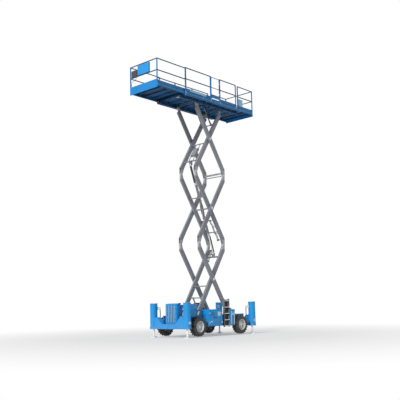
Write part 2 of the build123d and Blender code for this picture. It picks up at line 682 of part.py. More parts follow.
for name, level, lean, arm_y, lower_end, upper_end in arms:
    ends = (    # kind, pin along, pin up
        (lower_end, -lean * pin_half, -pin_offset),
        (upper_end, lean * pin_half, pin_offset),
    )
    with BuildPart() as arm:
        for side in sides:
            plane = arm_plane(level, lean, side * arm_y)
            with BuildSketch(plane):
                Rectangle(2 * tube_end, arm_depth)
            extrude(amount=arm_width / 2, both=True)
            for kind, along, up in ends:
                out = 1 if along > 0 else -1
                root = out * tube_end
                if kind == "cheek":
                    lap = out * (tube_end - cheek_lap)
                    with BuildSketch(
                            plane.offset(arm_width / 2), plane.offset(-arm_width / 2 - cheek_thick)):
                        with Locations((along, up)):
                            Circle(lug_radius)
                        with Locations(((root + lap) / 2, 0)):
                            Rectangle(cheek_lap, 2 * lug_base)
                        make_hull()
                    extrude(amount=cheek_thick)
                    with BuildSketch(plane):
                        with Locations((along, up)):
                            Circle(pin_radius)
                    extrude(amount=arm_width / 2 + cheek_thick, both=True)
                if kind == "tongue":
                    with BuildSketch(plane):
                        with Locations((along, up)):
                            Circle(lug_radius)
                        with Locations((root - out * lug_radius / 2, 0)):
                            Rectangle(lug_radius, 2 * lug_base)
                        make_hull()
                    extrude(amount=arm_width / 2 - tongue_gap, both=True)
                    with BuildSketch(plane):
                        with Locations((along, up)):
                            Circle(pin_radius + running_gap)
                    extrude(amount=arm_width, both=True, mode=Mode.SUBTRACT)
                if kind == "shoe":
                    with BuildSketch(plane):
                        with Locations((along, up)):
                            Circle(lug_radius)
                        with Locations((root - out * lug_radius / 2, up / abs(up) * lug_base / 2)):
                            Rectangle(lug_radius, lug_base)
                        make_hull()
                    extrude(amount=arm_width / 2, both=True)
                    shoe_mid = side * (shoe_inner_y + shoe_outer_y) / 2
                    with BuildSketch(arm_plane(level, lean, shoe_mid)):
                        with Locations((along, up)):
                            Circle(shoe_radius)
                    extrude(amount=(shoe_outer_y - shoe_inner_y) / 2, both=True)
            if arm_y == outer_y:
                pin_in = inner_y - arm_width / 2 + pin_inset
                pin_out = outer_y + arm_width / 2
                with BuildSketch(arm_plane(level, lean, side * (pin_in + pin_out) / 2)):
                    Circle(centre_pin_radius)
                extrude(amount=(pin_out - pin_in) / 2, both=True)
                spacer_y = side * (outer_y - arm_width / 2 - spacer_thick / 2)
                with BuildSketch(arm_plane(level, lean, spacer_y)):
                    Circle(spacer_radius)
                extrude(amount=spacer_thick / 2, both=True)
            else:
                with BuildSketch(plane):
                    Circle(centre_pin_radius + running_gap)
                extrude(amount=arm_width, both=True, mode=Mode.SUBTRACT)
        for kind, along, up in ends:
            if kind == "shoe":
                with BuildSketch(arm_plane(level, lean)):
                    with Locations((along, up)):
                        Circle(pin_radius)
                extrude(amount=shoe_outer_y, both=True)
        for along, up, radius in cross_tubes.get(name, ()):
            with BuildSketch(arm_plane(level, lean)):
                with Locations((along, up)):
                    Circle(radius)
            wall_y = arm_y - arm_width / 2 if arm_y == inner_y else arm_y - arm_width / 2 - cheek_thick
            extrude(amount=wall_y + tube_bite, both=True)
        for side in sides:
            if name in mount_plates:
                plate_mid = side * (plate_y + plate_thick / 2)
                with BuildSketch(arm_plane(level, lean, plate_mid)):
                    hull_of(*mount_plates[name])
                extrude(amount=plate_thick / 2, both=True)
        if name == "arm_2_inner":
            with BuildSketch(arm_plane(level, lean)):
                with Locations((mount_x, -eye_up), (-mount_x, eye_up)):
                    Circle(pin_radius)
            extrude(amount=plate_y + plate_thick, both=True)
        if name == "arm_3_inner":
            for side in sides:
                turned = arm_plane(level, lean, side * strut_y)
                beam = Plane(
                    origin=turned.from_local_coords(Vector(-carrier_x, strut_up, 0)),
                    x_dir=(0, 1, 0), z_dir=turned.x_dir)
                with BuildSketch(beam):
                    Circle(strut_radius)
                extrude(amount=carrier_x - strut_end)
            with BuildSketch(arm_plane(level, lean)):
                with Locations((-(pack_front + pack_rear) / 2, (pack_low + pack_high) / 2)):
                    Rectangle(pack_rear - pack_front, pack_high - pack_low)
            extrude(amount=pack_half, both=True)
    write(arm, name)

# Lift cylinders: the barrel swings on a pin of the second inner arms, and the rod ends in
# an eye with its own pin stub, between the mount plates of the stage below or above.
cylinders = (   # name, level and lean of the arms at the rod's eye, side of the middle
    ("lower", 0, 1, 1),
    ("upper", 2, 1, -1),
)
for name, level, lean, end in cylinders:
    foot_x, foot_up = arm_point(1, -1, end * mount_x, -end * eye_up)
    head_x, head_up = arm_point(level, lean, end * eye_x, end * eye_up)
    reach = hypot(head_x - foot_x, head_up - foot_up)
    along = ((head_x - foot_x) / reach, 0, (head_up - foot_up) / reach)
    side_on = Plane(origin=(foot_x, 0, foot_up), x_dir=along, z_dir=(0, -1, 0))
    end_on = Plane(origin=(foot_x, 0, foot_up), x_dir=(0, 1, 0), z_dir=along)
    with BuildPart() as barrel:
        with BuildSketch(side_on):
            with Locations((barrel_neck / 2, 0)):
                Rectangle(barrel_neck, 2 * eye_radius)
            Circle(eye_radius)
        extrude(amount=eye_half, both=True)
        with BuildSketch(end_on.offset(barrel_neck)):
            Circle(barrel_radius)
        extrude(amount=barrel_length - barrel_neck)
        with BuildSketch(end_on.offset(barrel_floor)):
            Circle(rod_radius + running_gap)
        extrude(amount=barrel_length - barrel_floor, mode=Mode.SUBTRACT)
        with BuildSketch(side_on):
            Circle(pin_radius + running_gap)
        extrude(amount=eye_half, both=True, mode=Mode.SUBTRACT)
    write(barrel, f"barrel_{name}")
    with BuildPart() as rod:
        with BuildSketch(end_on.offset(barrel_length - rod_overlap)):
            Circle(rod_radius)
        extrude(amount=reach - barrel_length + rod_overlap)
        eye_on = Plane(origin=(head_x, 0, head_up), x_dir=along, z_dir=(0, -1, 0))
        with BuildSketch(eye_on):
            Circle(eye_radius)
        extrude(amount=eye_half, both=True)
        with BuildSketch(eye_on):
            Circle(pin_radius)
        extrude(amount=plate_y - stub_gap, both=True)
    write(rod, f"rod_{name}")

# Centring links: two bars with an eye at each end and a tie between them. Each is a quarter
# as long as an arm and joins the middle of the chassis or deck to the inner arms, a quarter
# of the way along them, so that both ends of the stack slide evenly.
links = (       # name, height of the fixed end, level of the arms, side of their quarter point
    ("link_lower", foot_z, 0, -1),
    ("link_upper", head_z, 2, 1),
)
for name, fixed_z, level, end in links:
    arm_x, arm_z = arm_point(level, 1, end * pin_half / 2, end * pin_offset / 2)
    along = ((arm_x - stack_x) / link_length, 0, (arm_z - fixed_z) / link_length)
    with BuildPart() as link:
        for side in sides:
            bar = Plane(origin=(stack_x, side * link_y, fixed_z), x_dir=along, z_dir=(0, -1, 0))
            with BuildSketch(bar):
                with Locations((0, 0), (link_length, 0)):
                    Circle(link_eye)
                with Locations((link_length / 2, 0)):
                    Rectangle(link_length, link_depth)
            extrude(amount=link_thick / 2, both=True)
            with BuildSketch(bar):
                Circle(pin_radius + running_gap)
                with Locations((link_length, 0)):
                    Circle(cross_radius + running_gap)
            extrude(amount=link_thick / 2, both=True, mode=Mode.SUBTRACT)
        with BuildSketch(Plane(origin=(stack_x, 0, fixed_z), x_dir=along, z_dir=(0, -1, 0))):
            with Locations((link_length / 2, 0)):
                Circle(link_tie)
        extrude(amount=link_y - link_thick / 2 + tube_bite, both=True)
    write(link, name)

# ================================================================ platform
# Main deck: side beams, stepped joists, the upper arm tracks, a floor plate one step below
# the roll-out floors, and the lugs of the upper centring link.
track_top = head_z + track_height / 2
joist_count = int((deck_length - joist_width) / 2 / joist_pitch)
joists = [deck_front + joist_width / 2, deck_rear - joist_width / 2]
joists += [stack_x + step * joist_pitch for step in range(-joist_count, joist_count + 1)]

with BuildPart() as main_deck:
    with BuildSketch(Plane.XY.offset(floor_z - side_beam_drop)):
        for side in sides:
            with Locations((deck_x, side * (beam_outer_y + beam_inner_y) / 2)):
                Rectangle(deck_length, side_beam)
    extrude(amount=side_beam_drop)
    with BuildSketch(Plane.XY.offset(floor_z - side_beam_drop)):
        for joist_x in joists:
            for side in sides:
                with Locations((joist_x, side * (track_outer_y + beam_inner_y) / 2)):
                    Rectangle(joist_width, beam_inner_y - track_outer_y)
    extrude(amount=low_joist)
    with BuildSketch(Plane.XY.offset(track_top)):
        for joist_x in joists:
            with Locations((joist_x, 0)):
                Rectangle(joist_width, 2 * track_outer_y)
    extrude(amount=main_floor_z - deck_plate - track_top)
    with BuildSketch(Plane.XY.offset(main_floor_z - deck_plate)):
        with Locations((deck_x, 0)):
            Rectangle(deck_length, 2 * (ext_inner_y - deck_gap))
    extrude(amount=deck_plate)
    with BuildSketch(Plane.YZ.offset(stack_x - track_length / 2)):
        for side in sides:
            with Locations((side * (track_inner_y + track_outer_y) / 2, head_z)):
                Rectangle(track_outer_y - track_inner_y, track_height)
    extrude(amount=track_length)
    with BuildSketch(Plane.YZ.offset(stack_x - track_length / 2 + track_flange)):
        for side in sides:
            with Locations((side * (track_inner_y + track_outer_y - track_web) / 2, head_z)):
                Rectangle(track_outer_y - track_inner_y - track_web, track_clear)
    extrude(amount=track_length - 2 * track_flange, mode=Mode.SUBTRACT)
    for side in sides:
        with BuildSketch(upright(side * link_lug_y)):
            with Locations((stack_x, head_z)):
                Circle(link_eye)
            with Locations((stack_x, (head_z + track_top) / 2)):
                Rectangle(2 * link_eye, track_top - head_z)
        extrude(amount=link_lug / 2, both=True)
        with BuildSketch(upright(side * (link_pin_in + link_pin_out) / 2)):
            with Locations((stack_x, head_z)):
                Circle(pin_radius)
        extrude(amount=(link_pin_out - link_pin_in) / 2, both=True)
write(main_deck, "main_deck")

# Roll-out decks: a floor on joists that run over the main floor, side beams in the slots
# beside it, and a deep plate across the open end.
decks = (       # name, end x, inner x, direction of the open end
    ("front", front_end_x, deck_front + deck_lap, -1),
    ("rear", rear_end_x, deck_rear - deck_lap, 1),
)
for name, end_x, inner_x, out in decks:
    length = abs(end_x - inner_x)
    middle = (end_x + inner_x) / 2
    ext_joists = round(length / joist_pitch)
    with BuildPart() as roll_out:
        with BuildSketch(Plane.XY.offset(floor_z - deck_plate)):
            with Locations((middle, 0)):
                Rectangle(length, 2 * ext_outer_y)
        extrude(amount=deck_plate)
        with BuildSketch(Plane.XY.offset(floor_z - ext_beam_drop)):
            for side in sides:
                with Locations((middle, side * ext_y)):
                    Rectangle(length, ext_beam)
        extrude(amount=ext_beam_drop)
        with BuildSketch(Plane.XY.offset(main_floor_z + ext_lift)):
            for step in range(ext_joists + 1):
                joist_x = inner_x + out * (joist_width + step * (length - joist_width) / ext_joists * 2) / 2
                with Locations((joist_x, 0)):
                    Rectangle(joist_width, 2 * ext_inner_y)
        extrude(amount=floor_z - deck_plate - main_floor_z - ext_lift)
        with BuildSketch(Plane.XY.offset(floor_z - side_beam_drop)):
            with Locations((end_x - out * end_plate / 2, 0)):
                Rectangle(end_plate, 2 * ext_outer_y)
        extrude(amount=side_beam_drop + end_plate_rise)
    write(roll_out, f"{name}_deck")

# Guardrails of the main deck: square posts on the side beams, top and middle rails, and toe
# boards. The near side leaves a bay for the gate, with a pintle at its foot.
bays = (        # side, first post x, last post x, posts between
    (1, deck_front + post_size / 2, main_post_x, far_post_x),
    (-1, deck_front + post_size / 2, gate_front_x, ()),
    (-1, gate_rear_x, main_post_x, ()),
)
with BuildPart() as main_guardrails:
    for side, first_x, last_x, between in bays:
        with BuildSketch(Plane.XY.offset(floor_z)):
            for post_x in (first_x, last_x, *between):
                with Locations((post_x, side * post_y)):
                    Rectangle(post_size, post_size)
        extrude(amount=top_rail)
        for rail_z in (mid_z, top_z):
            with BuildSketch(Plane.YZ.offset(first_x)):
                with Locations((side * post_y, rail_z)):
                    Rectangle(rail_size, rail_size)
            extrude(amount=last_x - first_x)
        with BuildSketch(Plane.XY.offset(floor_z)):
            with Locations(((first_x + last_x) / 2, side * (post_y - post_size / 2 + toe_thick / 2))):
                Rectangle(last_x - first_x, toe_thick)
        extrude(amount=toe_height)
    with BuildSketch(Plane.XY.offset(gate_foot_z - seat_gap)):
        with Locations(((gate_hinge_x - gate_radius + gate_rear_x) / 2, -post_y)):
            Rectangle(gate_rear_x - gate_hinge_x + gate_radius, 2 * gate_radius)
    extrude(amount=-bracket_thick)
    with BuildSketch(Plane.XY.offset(gate_foot_z - seat_gap)):
        with Locations((gate_hinge_x, -post_y)):
            Circle(pintle_radius)
    extrude(amount=pintle_depth)
write(main_guardrails, "main_guardrails")

# Gate: a tube frame that swings inwards on its rear stile.
with BuildPart() as entry_gate:
    with BuildSketch(Plane.XY.offset(gate_foot_z)):
        with Locations((gate_latch_x, -post_y), (gate_hinge_x, -post_y)):
            Circle(gate_radius)
    extrude(amount=top_z - gate_foot_z)
    for bar_z in (gate_foot_z + gate_radius, mid_z, top_z - gate_radius):
        with BuildSketch(Plane.YZ.offset(gate_latch_x)):
            with Locations((-post_y, bar_z)):
                Circle(gate_radius)
        extrude(amount=gate_hinge_x - gate_latch_x)
    with BuildSketch(Plane.XY.offset(gate_foot_z)):
        with Locations(((gate_latch_x + gate_hinge_x) / 2, -post_y)):
            Rectangle(gate_hinge_x - gate_latch_x, toe_thick)
    extrude(amount=toe_height)
    with BuildSketch(Plane.XY.offset(gate_foot_z)):
        with Locations((gate_hinge_x, -post_y)):
            Circle(pintle_radius + running_gap)
    extrude(amount=pintle_depth + running_gap, mode=Mode.SUBTRACT)
write(entry_gate, "entry_gate")

# Guardrails of the roll-out decks: posts, rails and toe boards on three sides, just inside
# the main guardrails.
for name, end_x, inner_x, out in decks:
    corner_x = end_x - out * post_size / 2
    inner_post_x = inner_x + out * inner_post_set
    with BuildPart() as guardrail:
        with BuildSketch(Plane.XY.offset(floor_z)):
            for side in sides:
                with Locations((corner_x, side * ext_y), (inner_post_x, side * ext_y)):
                    Rectangle(post_size, post_size)
        extrude(amount=top_rail)
        for rail_z in (mid_z, top_z):
            with BuildSketch(Plane.XY.offset(rail_z - rail_size / 2)):
                with Locations((corner_x, 0)):
                    Rectangle(rail_size, 2 * ext_y)
                for side in sides:
                    with Locations(((corner_x + inner_post_x) / 2, side * ext_y)):
                        Rectangle(abs(corner_x - inner_post_x), rail_size)
            extrude(amount=rail_size)
        with BuildSketch(Plane.XY.offset(floor_z)):
            for side in sides:
                with Locations(((corner_x + inner_post_x) / 2, side * (ext_inner_y + toe_thick / 2))):
                    Rectangle(abs(corner_x - inner_post_x), toe_thick)
        extrude(amount=toe_height)
        with BuildSketch(Plane.XY.offset(floor_z)):
            with Locations((end_x - out * end_plate / 2, 0)):
                Rectangle(end_plate, 2 * ext_outer_y)
        extrude(amount=end_plate_rise, mode=Mode.SUBTRACT)
    write(guardrail, f"{name}_guardrail")

# Boxes on the front rail: the manual box outside, and the platform control box.
front_boxes = (     # name, low y, high y, outer x, depth, height
    ("manual_box", manual_low_y, manual_high_y, front_end_x - manual_proud,
     manual_depth, manual_height),
    ("control_box", control_low_y, control_high_y, front_end_x - control_proud,
     control_depth, control_height),
)
for name, low_y, high_y, outer_x, depth, height in front_boxes:
    with BuildPart() as front_box:
        with BuildSketch(Plane.XY.offset(mid_z + rail_size / 2)):
            with Locations((outer_x + depth / 2, (low_y + high_y) / 2)):
                Rectangle(depth, high_y - low_y)
        extrude(amount=height)
    write(front_box, name)
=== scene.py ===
import json
import math
from functools import partial
from itertools import product

import bmesh
import bpy
from mathutils import Matrix, Vector


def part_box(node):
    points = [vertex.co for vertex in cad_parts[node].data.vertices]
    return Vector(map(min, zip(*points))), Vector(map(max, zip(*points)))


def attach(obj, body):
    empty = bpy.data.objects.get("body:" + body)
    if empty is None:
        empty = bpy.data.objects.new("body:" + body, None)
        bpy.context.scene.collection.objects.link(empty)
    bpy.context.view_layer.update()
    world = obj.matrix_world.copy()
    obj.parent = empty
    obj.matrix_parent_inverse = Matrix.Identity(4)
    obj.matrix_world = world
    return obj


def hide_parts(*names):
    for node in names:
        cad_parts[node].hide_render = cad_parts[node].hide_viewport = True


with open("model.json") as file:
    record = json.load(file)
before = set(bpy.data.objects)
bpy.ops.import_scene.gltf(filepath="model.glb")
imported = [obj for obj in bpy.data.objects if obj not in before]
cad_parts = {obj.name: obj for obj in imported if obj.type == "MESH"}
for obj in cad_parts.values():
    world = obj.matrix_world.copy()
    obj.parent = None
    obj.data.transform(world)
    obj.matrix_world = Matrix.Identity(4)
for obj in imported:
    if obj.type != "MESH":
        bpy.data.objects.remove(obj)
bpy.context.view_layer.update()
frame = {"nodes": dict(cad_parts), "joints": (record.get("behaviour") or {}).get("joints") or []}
nodes = frame["nodes"]
joint_at = {j["name"]: Vector(j["pos_m"]) for j in frame["joints"] if "pos_m" in j}

# ------------------------------------------------------------------ floor, light and camera
# A pale workshop floor that runs out into plain white, a broad soft key light on the
# steering end, and a low camera off the front corner.
FLOOR_HALF = 60.0
FLOOR_FADE = (5.0, 16.0)        # distances over which the floor turns plain white
KEY_STRENGTH = 2.55
KEY_FROM = (-1.0, -0.22, 0.50)
SKY_STRENGTH = 0.40
LENS = 59.5
CAMERA_AT = (-22.385, -20.59, 1.33)
CAMERA_YAW, CAMERA_PITCH, CAMERA_ROLL = 42.33, 9.1, -1.26
SIDES = (-1, 1)
UP = Vector((0, 0, 1))
ACROSS = Vector((0, 1, 0))
EDGE_ANGLE = math.radians(40)   # edges sharper than this are rounded


class Wire:
    """One value in a material's nodes. Arithmetic on it adds Math nodes."""

    def __init__(self, tree, socket=None):
        self.tree = tree
        self.socket = socket

    def add(self, kind, settings=None, sockets=None, out=0):
        """Add a node: its settings first, then the values or wires of its sockets."""
        node = self.tree.nodes.new(kind)
        for key, value in (settings or {}).items():
            if key == "stops":
                ramp = node.color_ramp.elements
                while len(ramp) < len(value):
                    ramp.new(1.0)
                for stop, (position, shade) in zip(ramp, value):
                    stop.position = position
                    stop.color = (*shade, 1.0) if isinstance(shade, tuple) else (shade, shade, shade, 1.0)
            else:
                setattr(node, key, value)
        for key, value in (sockets or {}).items():
            if isinstance(value, Wire):
                self.tree.links.new(value.socket, node.inputs[key])
            else:
                node.inputs[key].default_value = value
        return Wire(self.tree, node.outputs[out])

    def math(self, operation, other=0.0):
        """A Math node on this value and another."""
        return self.add("ShaderNodeMath", {"operation": operation}, {0: self, 1: other})

    def __add__(self, other):
        return self.math("ADD", other)

    def __mul__(self, other):
        return self.math("MULTIPLY", other)

    def __sub__(self, other):
        return self.math("SUBTRACT", other)

    def __rsub__(self, other):
        return self.add("ShaderNodeMath", {"operation": "SUBTRACT"}, {0: other, 1: self})

    def __gt__(self, other):
        return self.math("GREATER_THAN", other)

    __radd__ = __add__
    __rmul__ = __mul__

    def ramp(self, low, high, start=0.0, end=1.0):
        """This value's span from low to high, spread evenly over start to end."""
        return self.add("ShaderNodeMapRange", None, {0: self, 1: low, 2: high, 3: start, 4: end})

    def blend(self, first, second):
        """A colour from first to second, with this value as the factor."""
        shades = {0: self, 6: first, 7: second}
        for key in (6, 7):
            if isinstance(shades[key], tuple):
                shades[key] = (*shades[key], 1.0)
        return self.add("ShaderNodeMix", {"data_type": "RGBA"}, shades, out=2)

    def place(self, scale=(1.0, 1.0, 1.0), turn=(0.0, 0.0, 0.0)):
        """The object's own coordinates, in metres, scaled and turned."""
        coords = self.add("ShaderNodeTexCoord", out=3)
        return self.add("ShaderNodeMapping", None, {0: coords, 2: turn, 3: scale})

    def noise(self, scale, detail=3.0, where=None):
        """Smooth noise, in the object's own coordinates unless it is told where."""
        where = where or self.place()
        return self.add("ShaderNodeTexNoise", None, {
            "Vector": where, "Scale": scale, "Detail": detail, "Roughness": 0.55})

    def height(self):
        """Height above the ground, in metres, with the machine at rest."""
        return self.add("ShaderNodeSeparateXYZ", None, {0: self.place()}, out=2)


def new_material(name):
    """An empty material, its Principled shader and a Wire to start from."""
    material = bpy.data.materials.new(name)
    material.use_nodes = True
    tree = material.node_tree
    return material, tree, tree.nodes["Principled BSDF"], Wire(tree)


def connect(tree, shader, **values):
    """Set or link the shader's sockets, named with _ for a space."""
    for key, value in values.items():
        socket = shader.inputs[key.replace("_", " ")]
        if isinstance(value, Wire):
            tree.links.new(value.socket, socket)
        else:
            socket.default_value = (*value, 1.0) if isinstance(value, tuple) else value


def relief(start, height, distance, strength=1.0):
    """A Bump node's normal from a height."""
    return start.add("ShaderNodeBump", None, {"Strength": strength, "Distance": distance, "Height": height})


def link(name, data):
    """An object in the scene around a mesh, curve, light or camera."""
    made = bpy.data.objects.new(name, data)
    bpy.context.scene.collection.objects.link(made)
    return made


def seen_by(tree, *kinds):
    """1 where one of the given kinds of ray looks, 0 for all others."""
    path = tree.nodes.new("ShaderNodeLightPath")
    seen, *others = (Wire(tree, path.outputs["Is " + kind + " Ray"]) for kind in kinds)
    for other in others:
        seen = seen.math("MAXIMUM", other)
    return seen


floor_mesh = bpy.data.meshes.new("floor")
sheet = bmesh.new()
bmesh.ops.create_grid(sheet, x_segments=2, y_segments=2, size=FLOOR_HALF)
sheet.to_mesh(floor_mesh)
sheet.free()
floor = link("floor", floor_mesh)
material, tree, shader, start = new_material("pale floor")
connect(tree, shader, Base_Color=(0.80, 0.80, 0.80), Roughness=0.85)
seen = seen_by(tree, "Camera", "Glossy")
reach = start.add("ShaderNodeVectorMath", {"operation": "LENGTH"}, {0: start.place()}, out=1)
glow = start.add("ShaderNodeEmission", None, {"Color": (1.0, 1.0, 1.0, 1.0), "Strength": 1.0})
mixed = start.add("ShaderNodeMixShader", None, {
    0: seen * reach.ramp(*FLOOR_FADE, 0.35, 1.0), 1: Wire(tree, shader.outputs[0]), 2: glow})
tree.links.new(mixed.socket, tree.nodes["Material Output"].inputs["Surface"])
floor_mesh.materials.append(material)

world = bpy.data.worlds.new("studio")
bpy.context.scene.world = world
world.use_nodes = True
tree = world.node_tree
background = tree.nodes["Background"]
seen = seen_by(tree, "Camera", "Glossy", "Transmission")
background.inputs["Color"].default_value = (1.0, 1.0, 1.0, 1.0)
tree.links.new(seen.ramp(0.0, 1.0, SKY_STRENGTH, 1.0).socket, background.inputs["Strength"])

sun = bpy.data.lights.new("key", "SUN")
sun.energy = KEY_STRENGTH
sun.angle = math.radians(12)
key = link("key", sun)
key.rotation_euler = Vector(KEY_FROM).to_track_quat("Z", "Y").to_euler()

lens = bpy.data.cameras.new("camera")
lens.lens = LENS
lens.clip_end = 500.0
camera = link("camera", lens)
yaw, pitch = math.radians(CAMERA_YAW), math.radians(CAMERA_PITCH)
ahead = Vector((math.cos(pitch) * math.cos(yaw), math.cos(pitch) * math.sin(yaw), math.sin(pitch)))
right = ahead.cross(UP).normalized()
above = right.cross(ahead)
roll = math.radians(CAMERA_ROLL)
tilted = math.cos(roll) * right + math.sin(roll) * above
upward = math.cos(roll) * above - math.sin(roll) * right
camera.matrix_world = Matrix((
    (tilted.x, upward.x, -ahead.x, CAMERA_AT[0]),
    (tilted.y, upward.y, -ahead.y, CAMERA_AT[1]),
    (tilted.z, upward.z, -ahead.z, CAMERA_AT[2]),
    (0, 0, 0, 1)))
bpy.context.scene.camera = camera
bpy.context.scene.view_settings.view_transform = "Standard"

# ------------------------------------------------------------------ chassis
# Two welded box rails with a bottom pan, cross members and C-shaped tracks for the arms.
# It is painted blue after welding, and road dust settles on its lower parts.
BLUE = (0.009, 0.290, 0.700)
DUST = (0.30, 0.27, 0.23)
DUST_TOP = 0.9                  # height up to which dust shows, in metres
BOLT = 0.011
WELD = 0.005


def scaled(shade, share):
    """A colour with each of its parts multiplied."""
    return tuple(share * part for part in shade)


def orange_peel(start, fine, coarse, fine_share=0.6, coarse_share=2.0):
    """Height of sprayed paint: fine grain on slow waves."""
    return start.noise(fine, 1.0) * fine_share + start.noise(coarse, 2.0) * coarse_share


def chipped(start, shade, scale, low, share, bare):
    """A shade with small chips of another, where noise reaches from low to 0.71."""
    return (start.noise(scale, 5.0).ramp(low, 0.71) * share).blend(shade, bare)


def painted(name, shade, gloss=0.32, dust=0.35, scuff=0.25, streak=0.12):
    """Sprayed enamel: faint cloudiness and runs, dust low down, small scuffs, orange peel."""
    material, tree, shader, start = new_material(name)
    cloud = start.noise(1.1, 4.0).ramp(0.35, 0.68)
    runs = start.noise(1.0, 4.0, start.place((9.0, 9.0, 0.7))).ramp(0.52, 0.75)
    shade_now = (cloud * 0.45 + runs * streak * 3.0).math("MINIMUM", 1.0).blend(shade, scaled(shade, 0.72))
    chips = start.noise(26.0, 5.0).ramp(0.66, 0.70) * (start.noise(2.2, 2.0) > 0.52) * scuff
    shade_now = chips.blend(shade_now, (0.42, 0.43, 0.44))
    low = start.height().ramp(DUST_TOP, 0.25) * start.noise(5.0, 5.0).ramp(0.30, 0.72) * dust
    shade_now = low.blend(shade_now, DUST)
    peel = orange_peel(start, 160.0, 2.5)
    connect(tree, shader, Base_Color=shade_now, Roughness=low * 0.5 + (cloud * 0.10 + gloss),
            Normal=relief(start, peel, 0.0012, 0.35), Coat_Weight=0.08, Specular_IOR_Level=0.28)
    return material


def steel(name, shade, metal=1.0, gloss=0.38, grain=(4.0, 4.0, 60.0), stain=0.3):
    """Bare or plated steel: fine drawn grain, cloudy stains and a little grime low down."""
    material, tree, shader, start = new_material(name)
    lines = start.noise(5.0, 3.0, start.place(grain))
    cloud = start.noise(3.0, 5.0).ramp(0.40, 0.75)
    shade_now = (cloud * stain).blend(shade, scaled(shade, 0.45))
    connect(tree, shader, Base_Color=shade_now, Metallic=metal,
            Roughness=cloud * 0.22 + (lines * 0.12 + gloss), Normal=relief(start, lines, 0.0006, 0.3))
    return material


def moulded(name, shade, gloss=0.55, grain=0.4):
    """Moulded plastic or rubber: a fine leathery grain and chalky dust in its hollows."""
    material, tree, shader, start = new_material(name)
    leather = start.add("ShaderNodeTexVoronoi", None, {"Vector": start.place(), "Scale": 220.0})
    dusty = start.noise(7.0, 5.0).ramp(0.45, 0.80) * 0.35
    shade_now = dusty.blend(shade, tuple(part + 0.10 for part in shade))
    connect(tree, shader, Base_Color=shade_now, Roughness=dusty * 0.4 + gloss,
            Normal=relief(start, leather, 0.0008, grain))
    return material


def round_edges(made, width):
    """Give sharp edges a small radius."""
    bevel = made.modifiers.new("edges", "BEVEL")
    bevel.width = width
    bevel.segments = 2
    bevel.limit_method = "ANGLE"
    bevel.angle_limit = EDGE_ANGLE


def coat(names, material, edge=0.0):
    """Give CAD nodes a material, and their edges a small radius."""
    for name in names:
        node = nodes[name]
        node.data.materials.clear()
        node.data.materials.append(material)
        if edge:
            node.modifiers.new("weld", "WELD").merge_threshold = 0.00002
            round_edges(node, edge)
            node.modifiers.new("shading", "WEIGHTED_NORMAL").keep_sharp = True


def block(shape, centre, size, turn=None):
    """Add a box to a bmesh, and return its vertices."""
    place = Matrix.Translation(centre) @ (turn or Matrix.Identity(4)) @ Matrix.Diagonal((*size, 1.0))
    return bmesh.ops.create_cube(shape, size=1.0, matrix=place)["verts"]


def along(start, end):
    """Matrix that puts +Z along a line, at its middle."""
    start, end = Vector(start), Vector(end)
    turn = (end - start).to_track_quat("Z", "Y").to_matrix().to_4x4()
    return Matrix.Translation((start + end) / 2) @ turn


def bar(shape, start, end, radius, sides=20, tip=None):
    """Add a round bar, or a cone where its tip has another radius."""
    length = (Vector(end) - Vector(start)).length
    return bmesh.ops.create_cone(
        shape, cap_ends=True, segments=sides, radius1=radius, radius2=radius if tip is None else tip,
        depth=length, matrix=along(start, end))["verts"]


def bolt(shape, at, out, size=BOLT):
    """Add a hexagon bolt head on its washer, standing out from a face."""
    at, out = Vector(at), Vector(out).normalized()
    bar(shape, at, at + 0.22 * size * out, 1.5 * size, 16)
    bar(shape, at, at + 1.1 * size * out, size, 6)


def around(count, first=0.0, plane=(0, 1)):
    """Unit vectors spread evenly in the plane of two axes, from the first angle in degrees."""
    for step in range(count):
        angle = math.radians(first + 360 * step / count)
        spot = Vector()
        spot[plane[0]] = math.cos(angle)
        spot[plane[1]] = math.sin(angle)
        yield spot


def lathe(shape, centre, axis, profile, steps=48):
    """Spin a profile of (distance along the axis, radius) points round an axis."""
    axis = Vector(axis).normalized()
    side = axis.orthogonal().normalized()
    ring = [shape.verts.new(Vector(centre) + axis * run + side * radius) for run, radius in profile]
    edges = [shape.edges.new(pair) for pair in zip(ring, ring[1:])]
    bmesh.ops.spin(shape, geom=ring + edges, cent=centre, axis=axis, angle=2 * math.pi, steps=steps,
                   use_merge=True)


def closed_line(shape, points, radius, sides):
    """Add bars from each point to the next, and from the last back to the first."""
    for first, second in zip(points, points[1:] + points[:1]):
        bar(shape, first, second, radius, sides)


def disc(shape, centre, axis, heights, radii, steps):
    """Add a disc with a sloped rim, from the heights of its foot, rim and face and its two radii."""
    (foot, rim, face), (wide, narrow) = heights, radii
    lathe(shape, centre, axis, [(foot, wide), (rim, wide), (face, narrow), (face, 0.0)], steps)


def hoop(shape, centre, axis, ends, radii, steps):
    """Add a plain ring between two distances along an axis and two radii, open on its inside."""
    (near, far), (inner, outer) = ends, radii
    lathe(shape, centre, axis, [(near, inner), (near, outer), (far, outer), (far, inner)], steps)


def piece(name, shape, material, body, edge=0.0, smooth=35.0):
    """Finish a bmesh as a piece that rides on a body, with its edges rounded."""
    bmesh.ops.remove_doubles(shape, verts=shape.verts, dist=1e-6)
    bmesh.ops.recalc_face_normals(shape, faces=shape.faces)
    mesh = bpy.data.meshes.new(name)
    shape.to_mesh(mesh)
    shape.free()
    mesh.materials.append(material)
    mesh.shade_smooth()
    mesh.set_sharp_from_angle(angle=math.radians(smooth))
    made = link(name, mesh)
    if edge:
        round_edges(made, edge)
    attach(made, body)
    return made


